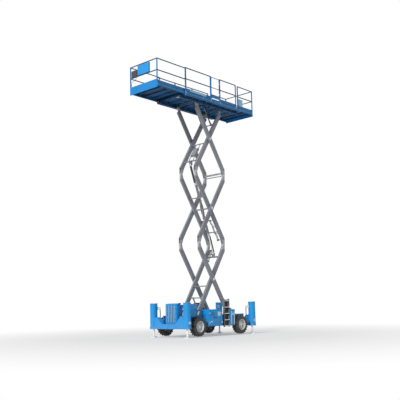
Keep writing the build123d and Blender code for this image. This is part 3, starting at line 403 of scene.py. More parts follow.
def hose(name, points, radius, material, body):
    """A hose or cable fixed along its run, as a smooth tube through its points."""
    curve = bpy.data.curves.new(name, "CURVE")
    curve.dimensions = "3D"
    curve.bevel_depth = radius
    curve.bevel_resolution = 3
    curve.use_fill_caps = True
    curve.resolution_u = 8
    for run in points:
        spline = curve.splines.new("NURBS")
        spline.points.add(len(run) - 1)
        for point, at in zip(spline.points, run):
            point.co = (*at, 1.0)
        spline.order_u = 3
        spline.use_endpoint_u = True
    curve.materials.append(material)
    made = link(name, curve)
    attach(made, body)
    return made


frame_blue = painted("frame blue enamel", BLUE)
zinc = steel("zinc plated steel", (0.62, 0.63, 0.62), 0.9, 0.40)
black_hose = moulded("black hose rubber", (0.018, 0.018, 0.020), 0.5, 0.25)
coat(["chassis_frame"], frame_blue, 0.004)

TRACK_Y = 0.704                 # outer faces of the tracks
TRACK_Z = 0.870
RAIL_Y = 0.610
RAIL_Z = (0.440, 0.785)
CABINET_BACK = -1.1             # the near track has no bolts ahead of this
TRACK_BOLTS, TRACK_PITCH = 20, 0.195
bolts = bmesh.new()
for side in SIDES:
    for count in range(TRACK_BOLTS):
        x = -1.50 + count * TRACK_PITCH
        if side > 0 or x >= CABINET_BACK:
            bolt(bolts, (x, side * TRACK_Y, TRACK_Z + 0.045), (0, side, 0), 0.008)
    for x, z in product((-1.62, -1.50, -0.85, 1.33, 1.98, 2.20), (0.52, 0.70)):
        bolt(bolts, (x, side * RAIL_Y, z), (0, side, 0), 0.012)
piece("frame_bolts", bolts, zinc, "chassis")

stiffeners = bmesh.new()
for side in SIDES:
    for x in (-1.45, -0.72, 1.30, 2.05):
        rib = block(stiffeners, (x, side * 0.655, 0.745), (0.012, 0.090, 0.080))
        low = [v for v in rib if v.co.z < 0.72 and abs(v.co.y) > 0.66]
        bmesh.ops.translate(stiffeners, verts=low, vec=(0, -side * 0.075, 0))
    for z in RAIL_Z:
        bar(stiffeners, (-1.81, side * RAIL_Y, z), (2.50, side * RAIL_Y, z), WELD, 8)
piece("frame_stiffeners", stiffeners, frame_blue, "chassis")

# Hydraulic manifold and its hoses in the bay between the rails: an anodised block with
# cartridge valves, just above the pan. Rubber hoses run from it to both ends of the bay.
PORTS_Y = (-0.16, -0.08, 0.0, 0.08, 0.16)
manifold = bmesh.new()
block(manifold, (0.75, 0.0, 0.615), (0.24, 0.42, 0.13))
for y in PORTS_Y:
    for x in (0.69, 0.80):
        bar(manifold, (x, y, 0.675), (x, y, 0.735), 0.020, 6)
        bar(manifold, (x, y, 0.735), (x, y, 0.750), 0.012, 12)
    bar(manifold, (0.63, y, 0.60), (0.60, y, 0.60), 0.016, 6)
aluminium = steel("anodised aluminium", (0.55, 0.50, 0.36), 0.85, 0.35)
piece("manifold", manifold, aluminium, "chassis", 0.003)
runs = []
for count, y in enumerate(PORTS_Y):
    high = 0.70 + 0.012 * count
    runs.append([(0.60, y, 0.60), (0.50, y, 0.61), (0.42, y * 0.8, high), (0.0, y * 0.5, high),
                 (-0.30, y * 0.5, high), (-0.60, y * 0.9, 0.56), (-1.10, y * 1.4, 0.56),
                 (-1.30, y * 2.2, 0.70)])
    runs.append([(0.87, y, 0.60), (0.98, y, 0.60), (1.08, y * 1.1, high), (1.25, y * 1.3, high),
                 (1.40, y * 1.8, 0.57), (2.20, y * 2.4, 0.57)])
hose("bay_hoses", runs, 0.011, black_hose, "chassis")

# ------------------------------------------------------------------ outriggers
# Welded U beams with an upright tube at each end. A hydraulic cylinder inside each tube
# pushes a leg with a broad pad down to the ground.
SLEEVES = {     # (x, y) of each upright tube
    "front_left": (-1.865, 1.02), "front_right": (-1.865, -1.02),
    "rear_left": (2.555, 1.02), "rear_right": (2.555, -1.02)}
SLEEVE_RADIUS = 0.165
SLEEVE_TOP = 1.480
SLEEVE_FOOT = 0.370
CAP_BOLTS = 0.135               # radius of the bolt circle on a cap
RING_Z = 0.63                   # tie-down rings
PAD_RIBS = 6
VALVE_PORTS = (1.225, 1.295)    # heights of a lock valve's hose ports
coat(["outrigger_beams"], frame_blue, 0.004)
white_paint = painted("pale grey enamel", (0.66, 0.68, 0.70), 0.35, 0.5)
leg_steel = steel("ground steel leg", (0.82, 0.84, 0.86), 0.35, 0.30, (20.0, 20.0, 1.0), 0.20)
coat(["leg_" + name for name in SLEEVES], leg_steel, 0.002)

caps = bmesh.new()
glands = bmesh.new()
rings = bmesh.new()
drops = []
for name, (x, y) in SLEEVES.items():
    side = 1 if y > 0 else -1
    lead = 1 if x > 0 else -1
    for spot in around(8, 22.5):
        bolt(caps, Vector((x, y, SLEEVE_TOP)) + CAP_BOLTS * spot, UP, 0.009)
    for spot in around(4, 45):
        bolt(caps, Vector((x, y, SLEEVE_FOOT + 0.05)) + spot * (SLEEVE_RADIUS + 0.008), spot, 0.009)
    lathe(glands, (x, y, SLEEVE_FOOT), (0, 0, -1),
          [(-0.004, 0.078), (0.003, 0.078), (0.005, 0.070), (0.005, 0.040), (0.0, 0.040)], 32)
    eye = Vector((x, side * (abs(y) + SLEEVE_RADIUS + 0.002), RING_Z))
    lathe(rings, eye, (0, side, 0), [(-0.012, 0.026), (0.004, 0.024), (0.007, 0.032), (0.007, 0.056),
                                     (0.002, 0.064), (-0.012, 0.066)], 32)
    valve = bmesh.new()
    valve_x, valve_y = x - lead * 0.150, y - side * 0.105
    block(valve, (valve_x, valve_y, 1.26), (0.075, 0.075, 0.13), Matrix.Rotation(0.78, 4, "Z"))
    for z in VALVE_PORTS:
        bar(valve, (x - lead * 0.17, y - side * 0.12, z), (x - lead * 0.205, y - side * 0.155, z), 0.014, 6)
    bolt(valve, (valve_x, valve_y, 1.325), UP, 0.014)
    piece("lock_valve_" + name, valve, zinc, "chassis", 0.002)
    for z, gap in zip(VALVE_PORTS, (0.0, 0.025)):
        out_x, out_y = x - lead * (0.215 + gap), y - side * 0.165
        drops.append([
            (x - lead * 0.20, y - side * 0.150, z), (out_x, out_y, z), (out_x, out_y, z - 0.06),
            (out_x + 0.006, out_y - side * 0.01, 1.0), (out_x, out_y, 0.80),
            (out_x - lead * 0.02, y - side * 0.38, 0.745), (out_x - lead * 0.05, side * 0.55, 0.735),
            (out_x - lead * 0.16, side * 0.47, 0.72)])
piece("sleeve_bolts", caps, zinc, "chassis")
piece("sleeve_glands", glands, zinc, "chassis", 0.0, 50.0)
piece("tie_down_rings", rings, white_paint, "chassis", 0.0, 50.0)
hose("outrigger_hoses", drops, 0.010, black_hose, "chassis")

for name, (x, y) in SLEEVES.items():
    ribs = bmesh.new()
    for count in range(PAD_RIBS):
        turn = Matrix.Rotation(2 * math.pi * count / PAD_RIBS, 4, "Z")
        rib = block(ribs, (0, 0, 0), (1, 1, 1))
        for v in rib:
            reach, top = (0.122, 0.028) if v.co.x > 0 else (0.040, 0.076)
            v.co = Vector((reach, math.copysign(0.004, v.co.y), top if v.co.z > 0 else 0.016))
        bmesh.ops.transform(ribs, verts=rib, matrix=Matrix.Translation((x, y, 0)) @ turn)
    for spot in around(PAD_RIBS, 30):
        bolt(ribs, Vector((x, y, 0.018)) + 0.085 * spot, UP, 0.009)
    piece("pad_ribs_" + name, ribs, leg_steel, "leg_" + name, 0.001)

# ------------------------------------------------------------------ wheels
# Lugged rough-terrain tyres, foam filled, on pressed steel rims. Each rim is held on its hub
# by nuts round the dish. The front pair is on steering knuckles.
WHEEL_X = (joint_at["steer_left"].x, joint_at["wheel_rear_left_spin"].x)
WHEEL_Y = 0.990
WHEEL_Z = 0.455
TYRE_RADIUS = 0.419
RIM_RADIUS = 0.2365
TREAD_BASE = TYRE_RADIUS - 0.034
LUGS = 19
LUG_SLANT = 0.052               # how far a lug's inner end leans round the tyre
LUG = {     # (outer end, raised): half width round the tyre, distance from its middle, radius
    (True, True): (0.0168, 0.140, TYRE_RADIUS - 0.006), (True, False): (0.02352, 0.150, 0.352),
    (False, True): (0.012, 0.010, TYRE_RADIUS), (False, False): (0.0168, 0.006, 0.372)}
WHEEL_NUTS = 9
DISH_Y = 0.055                  # outer face of the dish from the wheel's middle
RUBBER = (0.020, 0.020, 0.021)
TYRE_WALL = [                   # (distance from the wheel's middle, radius), from bead to tread
    (0.128, RIM_RADIUS), (0.140, 0.243), (0.141, 0.252), (0.150, 0.275), (0.1545, 0.312), (0.152, 0.345),
    (0.140, 0.372), (0.118, 0.382), (0.060, TREAD_BASE)]


def rubber_skin(name):
    """Black rubber with a fine grain and dried mud in patches."""
    material, tree, shader, start = new_material(name)
    fine = start.noise(70.0, 4.0)
    mud = start.noise(11.0, 6.0).ramp(0.48, 0.70) * 0.42
    shade_now = mud.blend(fine.ramp(0.3, 0.7).blend(RUBBER, (0.040, 0.040, 0.041)), (0.17, 0.15, 0.125))
    connect(tree, shader, Base_Color=shade_now, Roughness=mud * 0.3 + 0.62,
            Normal=relief(start, fine + mud, 0.0025, 0.5))
    return material


tyre_rubber = rubber_skin("tyre rubber")
rim_paint = painted("pale grey rim enamel", (0.60, 0.61, 0.62), 0.36, 0.30, 0.4)
coat(["rim_" + name for name in SLEEVES], rim_paint, 0.003)
for name in SLEEVES:
    x = WHEEL_X[0] if "front" in name else WHEEL_X[1]
    side = -1 if "right" in name else 1
    middle = Vector((x, side * WHEEL_Y, WHEEL_Z))
    carcass = bmesh.new()
    lathe(carcass, middle, ACROSS, [
        *((-run, radius) for run, radius in TYRE_WALL), (0.0, TREAD_BASE + 0.001),
        *reversed(TYRE_WALL), (-0.128, RIM_RADIUS)], 72)
    for (run, radius), out in product(((0.1475, 0.262), (0.1545, 0.328)), SIDES):
        lathe(carcass, middle, (0, out, 0), [
            (run - 0.004, radius - 0.005), (run + 0.0005, radius - 0.002), (run + 0.0005, radius + 0.002),
            (run - 0.004, radius + 0.005)], 48)
    # A lug on each side in turn, and a narrower block under its outer end, down the tyre's wall.
    for count, out in product(range(LUGS), SIDES):
        turn = Matrix.Rotation(2 * math.pi * (count + (0.25 if out > 0 else 0.75)) / LUGS, 4, "Y")
        lug = bmesh.ops.create_cube(carcass, size=1.0)["verts"]
        for v in lug:
            outer = v.co.y > 0
            half, wide, radius = LUG[outer, v.co.z > 0]
            v.co = Vector((math.copysign(half, v.co.x) + (0.0 if outer else LUG_SLANT), out * wide, radius))
        shoulder = bmesh.ops.create_cube(carcass, size=1.0)["verts"]
        for v in shoulder:
            low = v.co.z < 0
            wide = (0.1495 if low else 0.1425) + (0.005 if v.co.y > 0 else -0.012)
            half = math.copysign(0.011 if low else 0.019, v.co.x)
            v.co = Vector((half, out * wide, 0.328 if low else 0.392))
        bmesh.ops.transform(carcass, verts=lug + shoulder, matrix=Matrix.Translation(middle) @ turn)
    tyre = piece("lugged_tyre_" + name, carcass, tyre_rubber, "wheel_" + name, 0.003, 40.0)
    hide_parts("tyre_" + name)

    face = middle + side * DISH_Y * ACROSS
    trim = bmesh.new()
    lathe(trim, face, (0, side, 0), [
        (-0.001, 0.108), (0.004, 0.108), (0.012, 0.100), (0.012, 0.084), (0.040, 0.074), (0.046, 0.066),
        (0.048, 0.050), (0.040, 0.044), (0.038, 0.0)], 40)
    for spot in around(WHEEL_NUTS, plane=(0, 2)):
        nut = face + 0.138 * spot
        bolt(trim, nut, (0, side, 0), 0.0135)
        bar(trim, nut + side * 0.012 * ACROSS, nut + side * 0.024 * ACROSS, 0.0075, 12)
    piece("hub_and_nuts_" + name, trim, zinc, "wheel_" + name, 0.001, 40.0)
    lips = bmesh.new()
    for out in SIDES:
        lathe(lips, middle, (0, out, 0), [
            (0.118, 0.222), (0.122, 0.238), (0.130, 0.247), (0.138, 0.246), (0.141, 0.240), (0.136, 0.234),
            (0.128, 0.228), (0.124, 0.214), (0.112, 0.214), (0.118, 0.222)], 56)
    lathe(lips, face, (0, side, 0), [(-0.002, 0.206), (0.006, 0.200), (0.010, 0.188), (0.006, 0.176),
                                     (-0.002, 0.170)], 56)
    piece("rim_lips_" + name, lips, rim_paint, "wheel_" + name, 0.0, 50.0)
    vents = bmesh.new()
    for count in range(WHEEL_NUTS):
        turn = Matrix.Rotation(2 * math.pi * (count + 0.5) / WHEEL_NUTS, 4, "Y")
        slot = bmesh.ops.create_circle(vents, cap_ends=True, segments=20, radius=0.013)["verts"]
        bmesh.ops.transform(vents, verts=slot, matrix=Matrix.Translation(face + side * 0.0012 * ACROSS)
                            @ turn @ Matrix.Translation((0.172, 0, 0)) @ Matrix.Diagonal((1.0, 1.0, 1.7, 1.0))
                            @ Matrix.Rotation(math.radians(-90 * side), 4, "X"))
    stem = face - 0.196 * UP
    bar(vents, stem, stem + Vector((0, side * 0.034, 0.006)), 0.006, 10, 0.004)
    piece("rim_openings_" + name, vents, black_hose, "wheel_" + name)

# ------------------------------------------------------------------ axles
# A forged beam across each end, black like most running gear. The front one pivots on the
# frame, and a yoke turns on a kingpin at each of its ends, held by bolted caps.
axle_black = painted("black running gear enamel", (0.030, 0.031, 0.034), 0.42, 0.55, 0.35)
coat(["axles", "knuckle_left", "knuckle_right"], axle_black, 0.004)
KINGPIN = joint_at["steer_left"]
CAP_TOP = KINGPIN.z + 0.102
AXLE_Z = 0.46
for side, hand in ((1, "left"), (-1, "right")):
    caps = bmesh.new()
    pin = Vector((KINGPIN.x, side * KINGPIN.y, CAP_TOP))
    lathe(caps, pin, UP, [(-0.001, 0.040), (0.008, 0.038), (0.012, 0.030), (0.012, 0.0)], 32)
    bar(caps, pin, pin + 0.020 * UP, 0.005, 8)
    for spot in around(4, 45):
        bolt(caps, pin + 0.029 * spot + 0.009 * UP, UP, 0.006)
    piece("kingpin_cap_" + hand, caps, zinc, "knuckle_" + hand, 0.0, 40.0)
pivots = bmesh.new()
for x, lead in ((WHEEL_X[0], -1), (WHEEL_X[1], 1)):
    axle = Vector((x, 0, AXLE_Z))
    lathe(pivots, axle, (lead, 0, 0), [
        (0.055, 0.0), (0.098, 0.0), (0.098, 0.030), (0.090, 0.036), (0.090, 0.060), (0.078, 0.066),
        (0.055, 0.066)], 32)
    for spot in around(6, 90, (1, 2)):
        bolt(pivots, axle + 0.050 * spot + Vector((lead * 0.089, 0, 0)), (lead, 0, 0), 0.007)
    for side, y in product(SIDES, (0.50, 0.60)):
        bolt(pivots, (x + lead * 0.060, side * y, AXLE_Z), (lead, 0, 0), 0.012)
piece("axle_pivots", pivots, axle_black, "chassis", 0.001, 40.0)

# ------------------------------------------------------------------ cooler box
# A sheet steel box over the oil cooler and fan. Its front is a grille of upright pressed
# fins in front of the dark core, in a bolted frame. Louvres are pressed in its sides and back.
coat(["cooler_box"], frame_blue, 0.006)
low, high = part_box("cooler_box")
fin_grey = painted("pale fin enamel", (0.18, 0.45, 0.73), 0.35, 0.10, 0.25)
core_navy = moulded("dark cooler core", (0.014, 0.050, 0.110), 0.75, 0.8)
door_blue = painted("door panel enamel", scaled(BLUE, 1.08), 0.28, 0.30, 0.20)
core = bmesh.new()
fins = bmesh.new()
border = bmesh.new()
mid_z = (low.z + high.z) / 2
wide, tall = 0.58, 0.74         # of the grille
block(core, (low.x - 0.001, 0, mid_z), (0.006, wide, tall))
FINS, FIN_WIDE = 6, 0.036
for count in range(FINS):
    y = (count - (FINS - 1) / 2) * wide / FINS
    fin = block(fins, (low.x - 0.014, y, mid_z), (0.022, FIN_WIDE, tall - 0.01))
    front = [v for v in fin if v.co.x < low.x - 0.014]
    bmesh.ops.translate(fins, verts=front, vec=(0, 0.005, 0))
for z in (low.z + 0.34, high.z - 0.32):
    block(fins, (low.x - 0.006, 0, z), (0.006, wide, 0.010))
for side in SIDES:
    edge_y = side * (wide / 2 + 0.016)
    block(border, (low.x - 0.010, edge_y, mid_z), (0.024, 0.030, tall + 0.062))
    block(border, (low.x - 0.010, 0, mid_z + side * (tall / 2 + 0.016)), (0.024, wide, 0.030))
    for count in range(6):
        bolt(border, (low.x - 0.022, edge_y, low.z + 0.07 + count * 0.146), (-1, 0, 0), 0.006)


def louvres(shape, corner, across, rise, count, pitch, out, depth=0.010):
    """Pressed louvres, one above another from a corner: each is a sloping tongue."""
    corner, across, out = Vector(corner), Vector(across), Vector(out)
    for row in range(count):
        foot = corner + row * pitch * UP
        verts = [shape.verts.new(spot) for spot in (
            foot, foot + across, foot + across + rise * UP, foot + rise * UP,
            foot + out * depth, foot + across + out * depth)]
        for face in ((0, 1, 5, 4), (4, 5, 2, 3), (0, 4, 3), (1, 2, 5), (3, 2, 1, 0)):
            shape.faces.new([verts[number] for number in face])


for side in SIDES:
    louvres(border, (low.x + 0.045, side * high.y, low.z + 0.28), (0.095, 0, 0), 0.022, 12, 0.042,
            (0, side, 0))
    disc(border, ((low.x + high.x) / 2, side * 0.22, high.z), UP, (-0.002, 0.008, 0.014), (0.030, 0.022), 24)
block(border, ((low.x + high.x) / 2, 0, high.z + 0.004), (0.13, 0.30, 0.012))
louvres(border, (high.x, -0.25, low.z + 0.12), (0, 0.50, 0), 0.030, 10, 0.060, (1, 0, 0), 0.012)
piece("cooler_core", core, core_navy, "chassis")
piece("cooler_fins", fins, fin_grey, "chassis", 0.002)
piece("cooler_frame", border, door_blue, "chassis", 0.002)

# ------------------------------------------------------------------ side cabinet and trays
# Sheet steel boxes with hinged, latched doors. The near tray swings out with the ground
# controls and the far one with the engine, and each turns on a post at one corner.
handle_black = moulded("black moulded handle", (0.015, 0.015, 0.016), 0.45, 0.3)
plate_pale = painted("bare pale plate", (0.62, 0.72, 0.80), 0.30, 0.15, 0.3)
red_plastic = moulded("red moulded button", (0.55, 0.012, 0.010), 0.35, 0.1)
BOXES = ("side_cabinet", "control_tray", "engine_tray")
coat(BOXES, frame_blue, 0.008)
LATCH = 0.030


def door(shapes, low, high, face, out, hinge_side):
    """A door panel standing proud of a face at y, its rim, hinges and latch."""
    panel, fittings, pulls = shapes
    mid = ((low[0] + high[0]) / 2, face + out * 0.005, (low[1] + high[1]) / 2)
    size = (high[0] - low[0], 0.012, high[1] - low[1])
    made = block(panel, mid, size)
    faces = {f for v in made for f in v.link_faces}
    front = [f for f in faces if all(abs(v.co.y - mid[1] - out * 0.006) < 1e-6 for v in f.verts)]
    bmesh.ops.inset_region(panel, faces=front, thickness=0.026, depth=0.0)
    bmesh.ops.inset_region(panel, faces=front, thickness=0.006, depth=-0.005)
    edge = low[0] if hinge_side < 0 else high[0]
    proud = face + out * 0.013
    for z in (low[1] + 0.14 * size[2] + 0.03, high[1] - 0.14 * size[2] - 0.03):
        bar(fittings, (edge, proud, z - 0.032), (edge, proud, z + 0.032), 0.0075, 12)
        block(fittings, (edge - hinge_side * 0.020, proud, z), (0.040, 0.004, 0.052))
    pull_x = (high[0] if hinge_side < 0 else low[0]) + hinge_side * 0.055
    lathe(pulls, (pull_x, face + out * 0.006, mid[2]), (0, out, 0),
          [(0.0, LATCH), (0.005, LATCH), (0.005, LATCH - 0.006), (0.0025, LATCH - 0.010), (0.0025, 0.0)], 24)
    block(pulls, (pull_x, proud, mid[2]), (0.010, 0.008, 1.5 * LATCH))


for name in BOXES:
    body = "chassis" if name == "side_cabinet" else name
    low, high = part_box(name)
    out = 1 if name == "engine_tray" else -1
    face = high.y if out > 0 else low.y
    panel, fittings, pulls = shapes = [bmesh.new() for _ in range(3)]
    if name == "side_cabinet":
        door(shapes, (low.x + 0.035, low.z + 0.035), (high.x - 0.035, high.z - 0.035), face, out, -1)
        louvres(panel, (low.x + 0.12, face - 0.006, low.z + 0.10), (0.22, 0, 0), 0.018, 6, 0.034,
                (0, -1, 0), 0.008)
        louvres(panel, (low.x, low.y + 0.06, low.z + 0.14), (0, 0.11, 0), 0.020, 8, 0.038, (-1, 0, 0), 0.008)
    else:
        split = (low.x + high.x) / 2 + (0.06 if out > 0 else -0.02)
        door(shapes, (low.x + 0.030, low.z + 0.045), (split - 0.008, high.z - 0.040), face, out, -1)
        door(shapes, (split + 0.008, low.z + 0.045), (high.x - 0.030, high.z - 0.040), face, out, 1)
        rows = 7 if out < 0 else 12
        louvres(panel, (split + 0.11, face + out * 0.006, low.z + 0.12), (0.20, 0, 0), 0.020, rows, 0.036,
                (0, out, 0), 0.009)
        for x, lead in ((low.x, -1), (high.x, 1)):
            louvres(panel, (x, low.y + 0.10, low.z + 0.16), (0, 0.20, 0), 0.020, rows, 0.038,
                    (lead, 0, 0), 0.009)
        for x, y in product((low.x + 0.10, high.x - 0.10), (low.y + 0.06, high.y - 0.06)):
            bolt(fittings, (x, y, high.z), UP, 0.008)
    piece(name + "_doors", panel, door_blue, body, 0.0015)
    piece(name + "_hinges", fittings, zinc, body, 0.0008)
    piece(name + "_latches", pulls, handle_black, body, 0.001)

low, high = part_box("control_tray")
plates = bmesh.new()
block(plates, (low.x + 0.67, low.y - 0.012, high.z - 0.20), (0.20, 0.003, 0.180))
block(plates, (low.x + 0.17, low.y - 0.008, low.z + 0.20), (0.10, 0.004, 0.06))
piece("tray_plates", plates, plate_pale, "control_tray", 0.0006)
centre = Vector((low.x + 0.19, low.y - 0.014, high.z - 0.20))
housing = bmesh.new()
block(housing, centre, (0.18, 0.024, 0.22))
block(housing, centre - 0.013 * ACROSS, (0.15, 0.004, 0.19))
piece("ground_control_housing", housing, frame_blue, "control_tray", 0.0015)
switches = bmesh.new()
for row, x in product(range(3), (-0.045, 0.0, 0.045)):
    spot = centre + Vector((x, -0.014, 0.055 - row * 0.045))
    bar(switches, spot, spot - 0.010 * ACROSS, 0.009, 12)
    bar(switches, spot - 0.008 * ACROSS, spot + Vector((0, -0.026, 0.010)), 0.0035, 8)
piece("ground_controls", switches, handle_black, "control_tray", 0.0015)
stop = bmesh.new()
spot = centre + Vector((0.0, -0.014, -0.078))
lathe(stop, spot, (0, -1, 0), [(0.0, 0.012), (0.010, 0.012), (0.010, 0.020), (0.018, 0.021), (0.022, 0.016),
                               (0.023, 0.0)], 24)
piece("ground_stop_button", stop, red_plastic, "control_tray", 0.0, 50.0)

engine_iron = steel("cast engine iron", (0.16, 0.16, 0.17), 0.6, 0.55, (30.0, 30.0, 30.0))
coat(["engine_block"], engine_iron, 0.004)
low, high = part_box("engine_tray")
exhaust = bmesh.new()
base = Vector((high.x - 0.66, low.y + 0.13, high.z + 0.044))
lathe(exhaust, base, (1, 0, 0), [
    (0.0, 0.0), (0.0, 0.022), (0.030, 0.022), (0.034, 0.034), (0.040, 0.038), (0.400, 0.038), (0.406, 0.034),
    (0.410, 0.017), (0.520, 0.017), (0.520, 0.013), (0.440, 0.013), (0.440, 0.0)], 32)
for run in (0.10, 0.34):
    band = base + Vector((run, 0, 0))
    hoop(exhaust, band, (1, 0, 0), (-0.012, 0.012), (0.0375, 0.0405), 32)
    block(exhaust, band - 0.024 * UP, (0.024, 0.110, 0.044))
    for y in (-0.046, 0.046):
        bolt(exhaust, band + Vector((0, y, -0.002)), UP, 0.006)
muffler_steel = steel("hot worn muffler steel", (0.20, 0.15, 0.12), 0.6, 0.6, (9.0, 9.0, 9.0), 0.8)
piece("muffler", exhaust, muffler_steel, "engine_tray", 0.0, 40.0)
intake = bmesh.new()
lathe(intake, (low.x + 0.20, low.y + 0.15, high.z), UP, [
    (-0.002, 0.050), (0.026, 0.050), (0.030, 0.075), (0.034, 0.078), (0.068, 0.078), (0.075, 0.070),
    (0.080, 0.030), (0.081, 0.0)], 32)
piece("air_intake", intake, handle_black, "engine_tray", 0.0, 40.0)

# ------------------------------------------------------------------ fuel tank
# A folded steel tank with rounded edges, strapped to the shelf. The filler neck has a vented
# cap, a level gauge is set beside it, and a drain plug is low on the face.
coat(["fuel_tank"], frame_blue, 0.0)
low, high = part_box("fuel_tank")
straps = bmesh.new()
for x in (low.x + 0.085, high.x - 0.085):
    block(straps, (x, low.y - 0.003, (low.z + high.z) / 2 - 0.02), (0.036, 0.006, high.z - low.z - 0.11))
    block(straps, (x, (low.y + high.y) / 2, high.z + 0.003), (0.036, high.y - low.y - 0.12, 0.006))
    for z in (low.z + 0.06, high.z - 0.16):
        bolt(straps, (x, low.y - 0.006, z), (0, -1, 0), 0.008)
piece("tank_straps", straps, zinc, "chassis", 0.001)
neck = bmesh.new()
spot = Vector(((low.x + high.x) / 2 - 0.03, low.y + 0.13, high.z))
lathe(neck, spot, UP, [(-0.004, 0.058), (0.006, 0.058), (0.008, 0.044), (0.028, 0.044), (0.030, 0.050),
                       (0.052, 0.050), (0.058, 0.044), (0.060, 0.0)], 32)
for turn in around(12):
    bar(neck, spot + 0.050 * turn + 0.032 * UP, spot + 0.050 * turn + 0.050 * UP, 0.004, 8)
disc(neck, spot + Vector((0.07, 0.12, 0)), UP, (-0.002, 0.010, 0.014), (0.026, 0.022), 24)
drain = Vector((high.x - 0.06, low.y, low.z + 0.06))
bar(neck, drain - 0.001 * ACROSS, drain - 0.016 * ACROSS, 0.016, 6)
piece("tank_cap", neck, handle_black, "chassis", 0.0, 40.0)
badge = bmesh.new()
block(badge, ((low.x + high.x) / 2, low.y - 0.002, high.z - 0.20), (0.12, 0.003, 0.09))
piece("tank_plate", badge, plate_pale, "chassis", 0.0006)

# ------------------------------------------------------------------ entry ladder
# Two flat stringers with folded treads, bolted to stays on the rail. Each tread has rows of
# punched, raised grips, a dark kick plate closes the back, and the stringers are capped.
ladder_grey = painted("grey ladder enamel", (0.17, 0.18, 0.20), 0.42, 0.35, 0.6)
coat(["entry_ladder"], ladder_grey, 0.002)
low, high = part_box("entry_ladder")
LADDER_X = 0.6475
LADDER_Y = (-1.11, -1.02)
LADDER_MID = sum(LADDER_Y) / 2
TREADS, TREAD_LOW, TREAD_RISE = 5, 0.400, 0.280
grips = bmesh.new()
for tread in range(TREADS):
    z = TREAD_LOW + tread * TREAD_RISE + 0.026
    for row, count in product(range(3), range(9)):
        spot = (0.505 + count * 0.036, LADDER_Y[0] + 0.018 + row * 0.027, z)
        lathe(grips, spot, UP, [(-0.001, 0.010), (0.004, 0.008), (0.004, 0.005), (-0.001, 0.004)], 10)
    block(grips, (LADDER_X, LADDER_Y[0] - 0.002, z - 0.013), (0.325, 0.004, 0.030))
piece("tread_grips", grips, zinc, "chassis", 0.0, 50.0)
fixings = bmesh.new()
for x, out in ((0.470, -1), (0.825, 1)):
    for z, y in product((0.475, 0.765), (LADDER_MID - 0.020, LADDER_MID + 0.020)):
        bolt(fixings, (x, y, z), (out, 0, 0), 0.008)
    for tread in range(TREADS):
        bolt(fixings, (x, LADDER_MID, TREAD_LOW + 0.013 + tread * TREAD_RISE), (out, 0, 0), 0.007)
piece("ladder_bolts", fixings, zinc, "chassis")
KICK_WIDE, KICK_THICK = 0.322, 0.003
kick = bmesh.new()
kick_low, kick_high = 0.440, high.z - 0.020
block(kick, (LADDER_X, LADDER_Y[1] + KICK_THICK / 2, (kick_low + kick_high) / 2),
      (KICK_WIDE, KICK_THICK, kick_high - kick_low))
for rise in range(6):
    y, z = LADDER_Y[1] - 0.002, kick_low + 0.10 + rise * 0.190
    bar(kick, (0.510, y, z), (0.785, y, z), 0.004, 8)
kick_enamel = painted("dark ladder back enamel", (0.040, 0.044, 0.052), 0.5, 0.3, 0.6)
piece("ladder_kick_plate", kick, kick_enamel, "chassis", 0.001)
caps = bmesh.new()
for x in (0.477, 0.818):
    block(caps, (x, LADDER_MID, high.z + 0.001), (0.020, 0.096, 0.020))
    block(caps, (x, LADDER_MID, low.z + 0.004), (0.018, 0.094, 0.012))
piece("stringer_caps", caps, handle_black, "chassis", 0.003)

# ------------------------------------------------------------------ scissor arms
# Box-section steel arms, sprayed grey, with forged ends welded on and pins through them.
# Keeper plates hold the pins, and weld beads run round each joint.
ARM_GREY = (0.255, 0.270, 0.305)
END_GREY = (0.430, 0.440, 0.460)
# Painted shade colour for the arms' top ends, under the deck.
ARM_TOP_SHADE = (0.020, 0.024, 0.032)
STACK_X = 0.355                 # the centre pins, and where the links are fixed
FOOT_Z = 0.870                  # lowest pins
STAGE = 3.2815                  # height of one stage
HEAD_Z = FOOT_Z + 3 * STAGE
TILT = math.radians(57.9)       # of an arm, at rest
INNER_Y, OUTER_Y, ARM_WIDE = 0.465, 0.580, 0.090    # middles of the arms across, their width
PIN_HALF, PIN_OFFSET = 1.871, 0.105                 # elbow pins, along an arm and square to it
TUBE_END, TUBE_DEEP = 1.651, 0.200


def arm_enamel(name, elbows):
    """Grey enamel with dust on top, paler forged ends near the given heights, black grease, and
    painted shade darkening the top, under the deck."""
    material, tree, shader, start = new_material(name)
    cloud = start.noise(0.9, 5.0).ramp(0.32, 0.68)
    runs = start.noise(1.5, 4.0, start.place((6.0, 6.0, 1.2))).ramp(0.50, 0.76)
    shade_now = (cloud * 0.55 + runs * 0.5).math("MINIMUM", 1.0).blend(ARM_GREY, scaled(ARM_GREY, 0.60))
    level = start.height()
    near = None
    for elbow in elbows:
        gap = (level - elbow).math("ABSOLUTE").ramp(0.24, 0.19)
        near = gap if near is None else near.math("MAXIMUM", gap)
    shade_now = (near * 0.8).blend(shade_now, END_GREY)
    smear = near * start.noise(9.0, 5.0).ramp(0.58, 0.68) * 0.55
    shade_now = smear.blend(shade_now, (0.03, 0.03, 0.032))
    shade_now = chipped(start, shade_now, 30.0, 0.68, 0.4, (0.10, 0.08, 0.07))
    # Painted shade: the arms' top ends, under the deck, are darkened towards near black.
    arm_top_shade_mask = (level - HEAD_Z).ramp(-0.10, -0.02, 0.0, 0.88)
    shade_now = arm_top_shade_mask.blend(shade_now, ARM_TOP_SHADE)
    peel = orange_peel(start, 150.0, 2.0)
    connect(tree, shader, Base_Color=shade_now, Roughness=cloud * 0.12 + (near * 0.05 + 0.34),
            Normal=relief(start, peel, 0.0014, 0.4), Specular_IOR_Level=0.35)
    return material


arm_grey = arm_enamel("grey arm enamel", [FOOT_Z + STAGE * level for level in range(4)])
ARMS = {    # arm: stage, lean, distance from the middle
    f"arm_{level + 1}_{pair}": (level, lean * (-1) ** level, y)
    for level in range(3) for pair, lean, y in (("inner", 1, INNER_Y), ("outer", -1, OUTER_Y))}
coat(ARMS, arm_grey, 0.005)


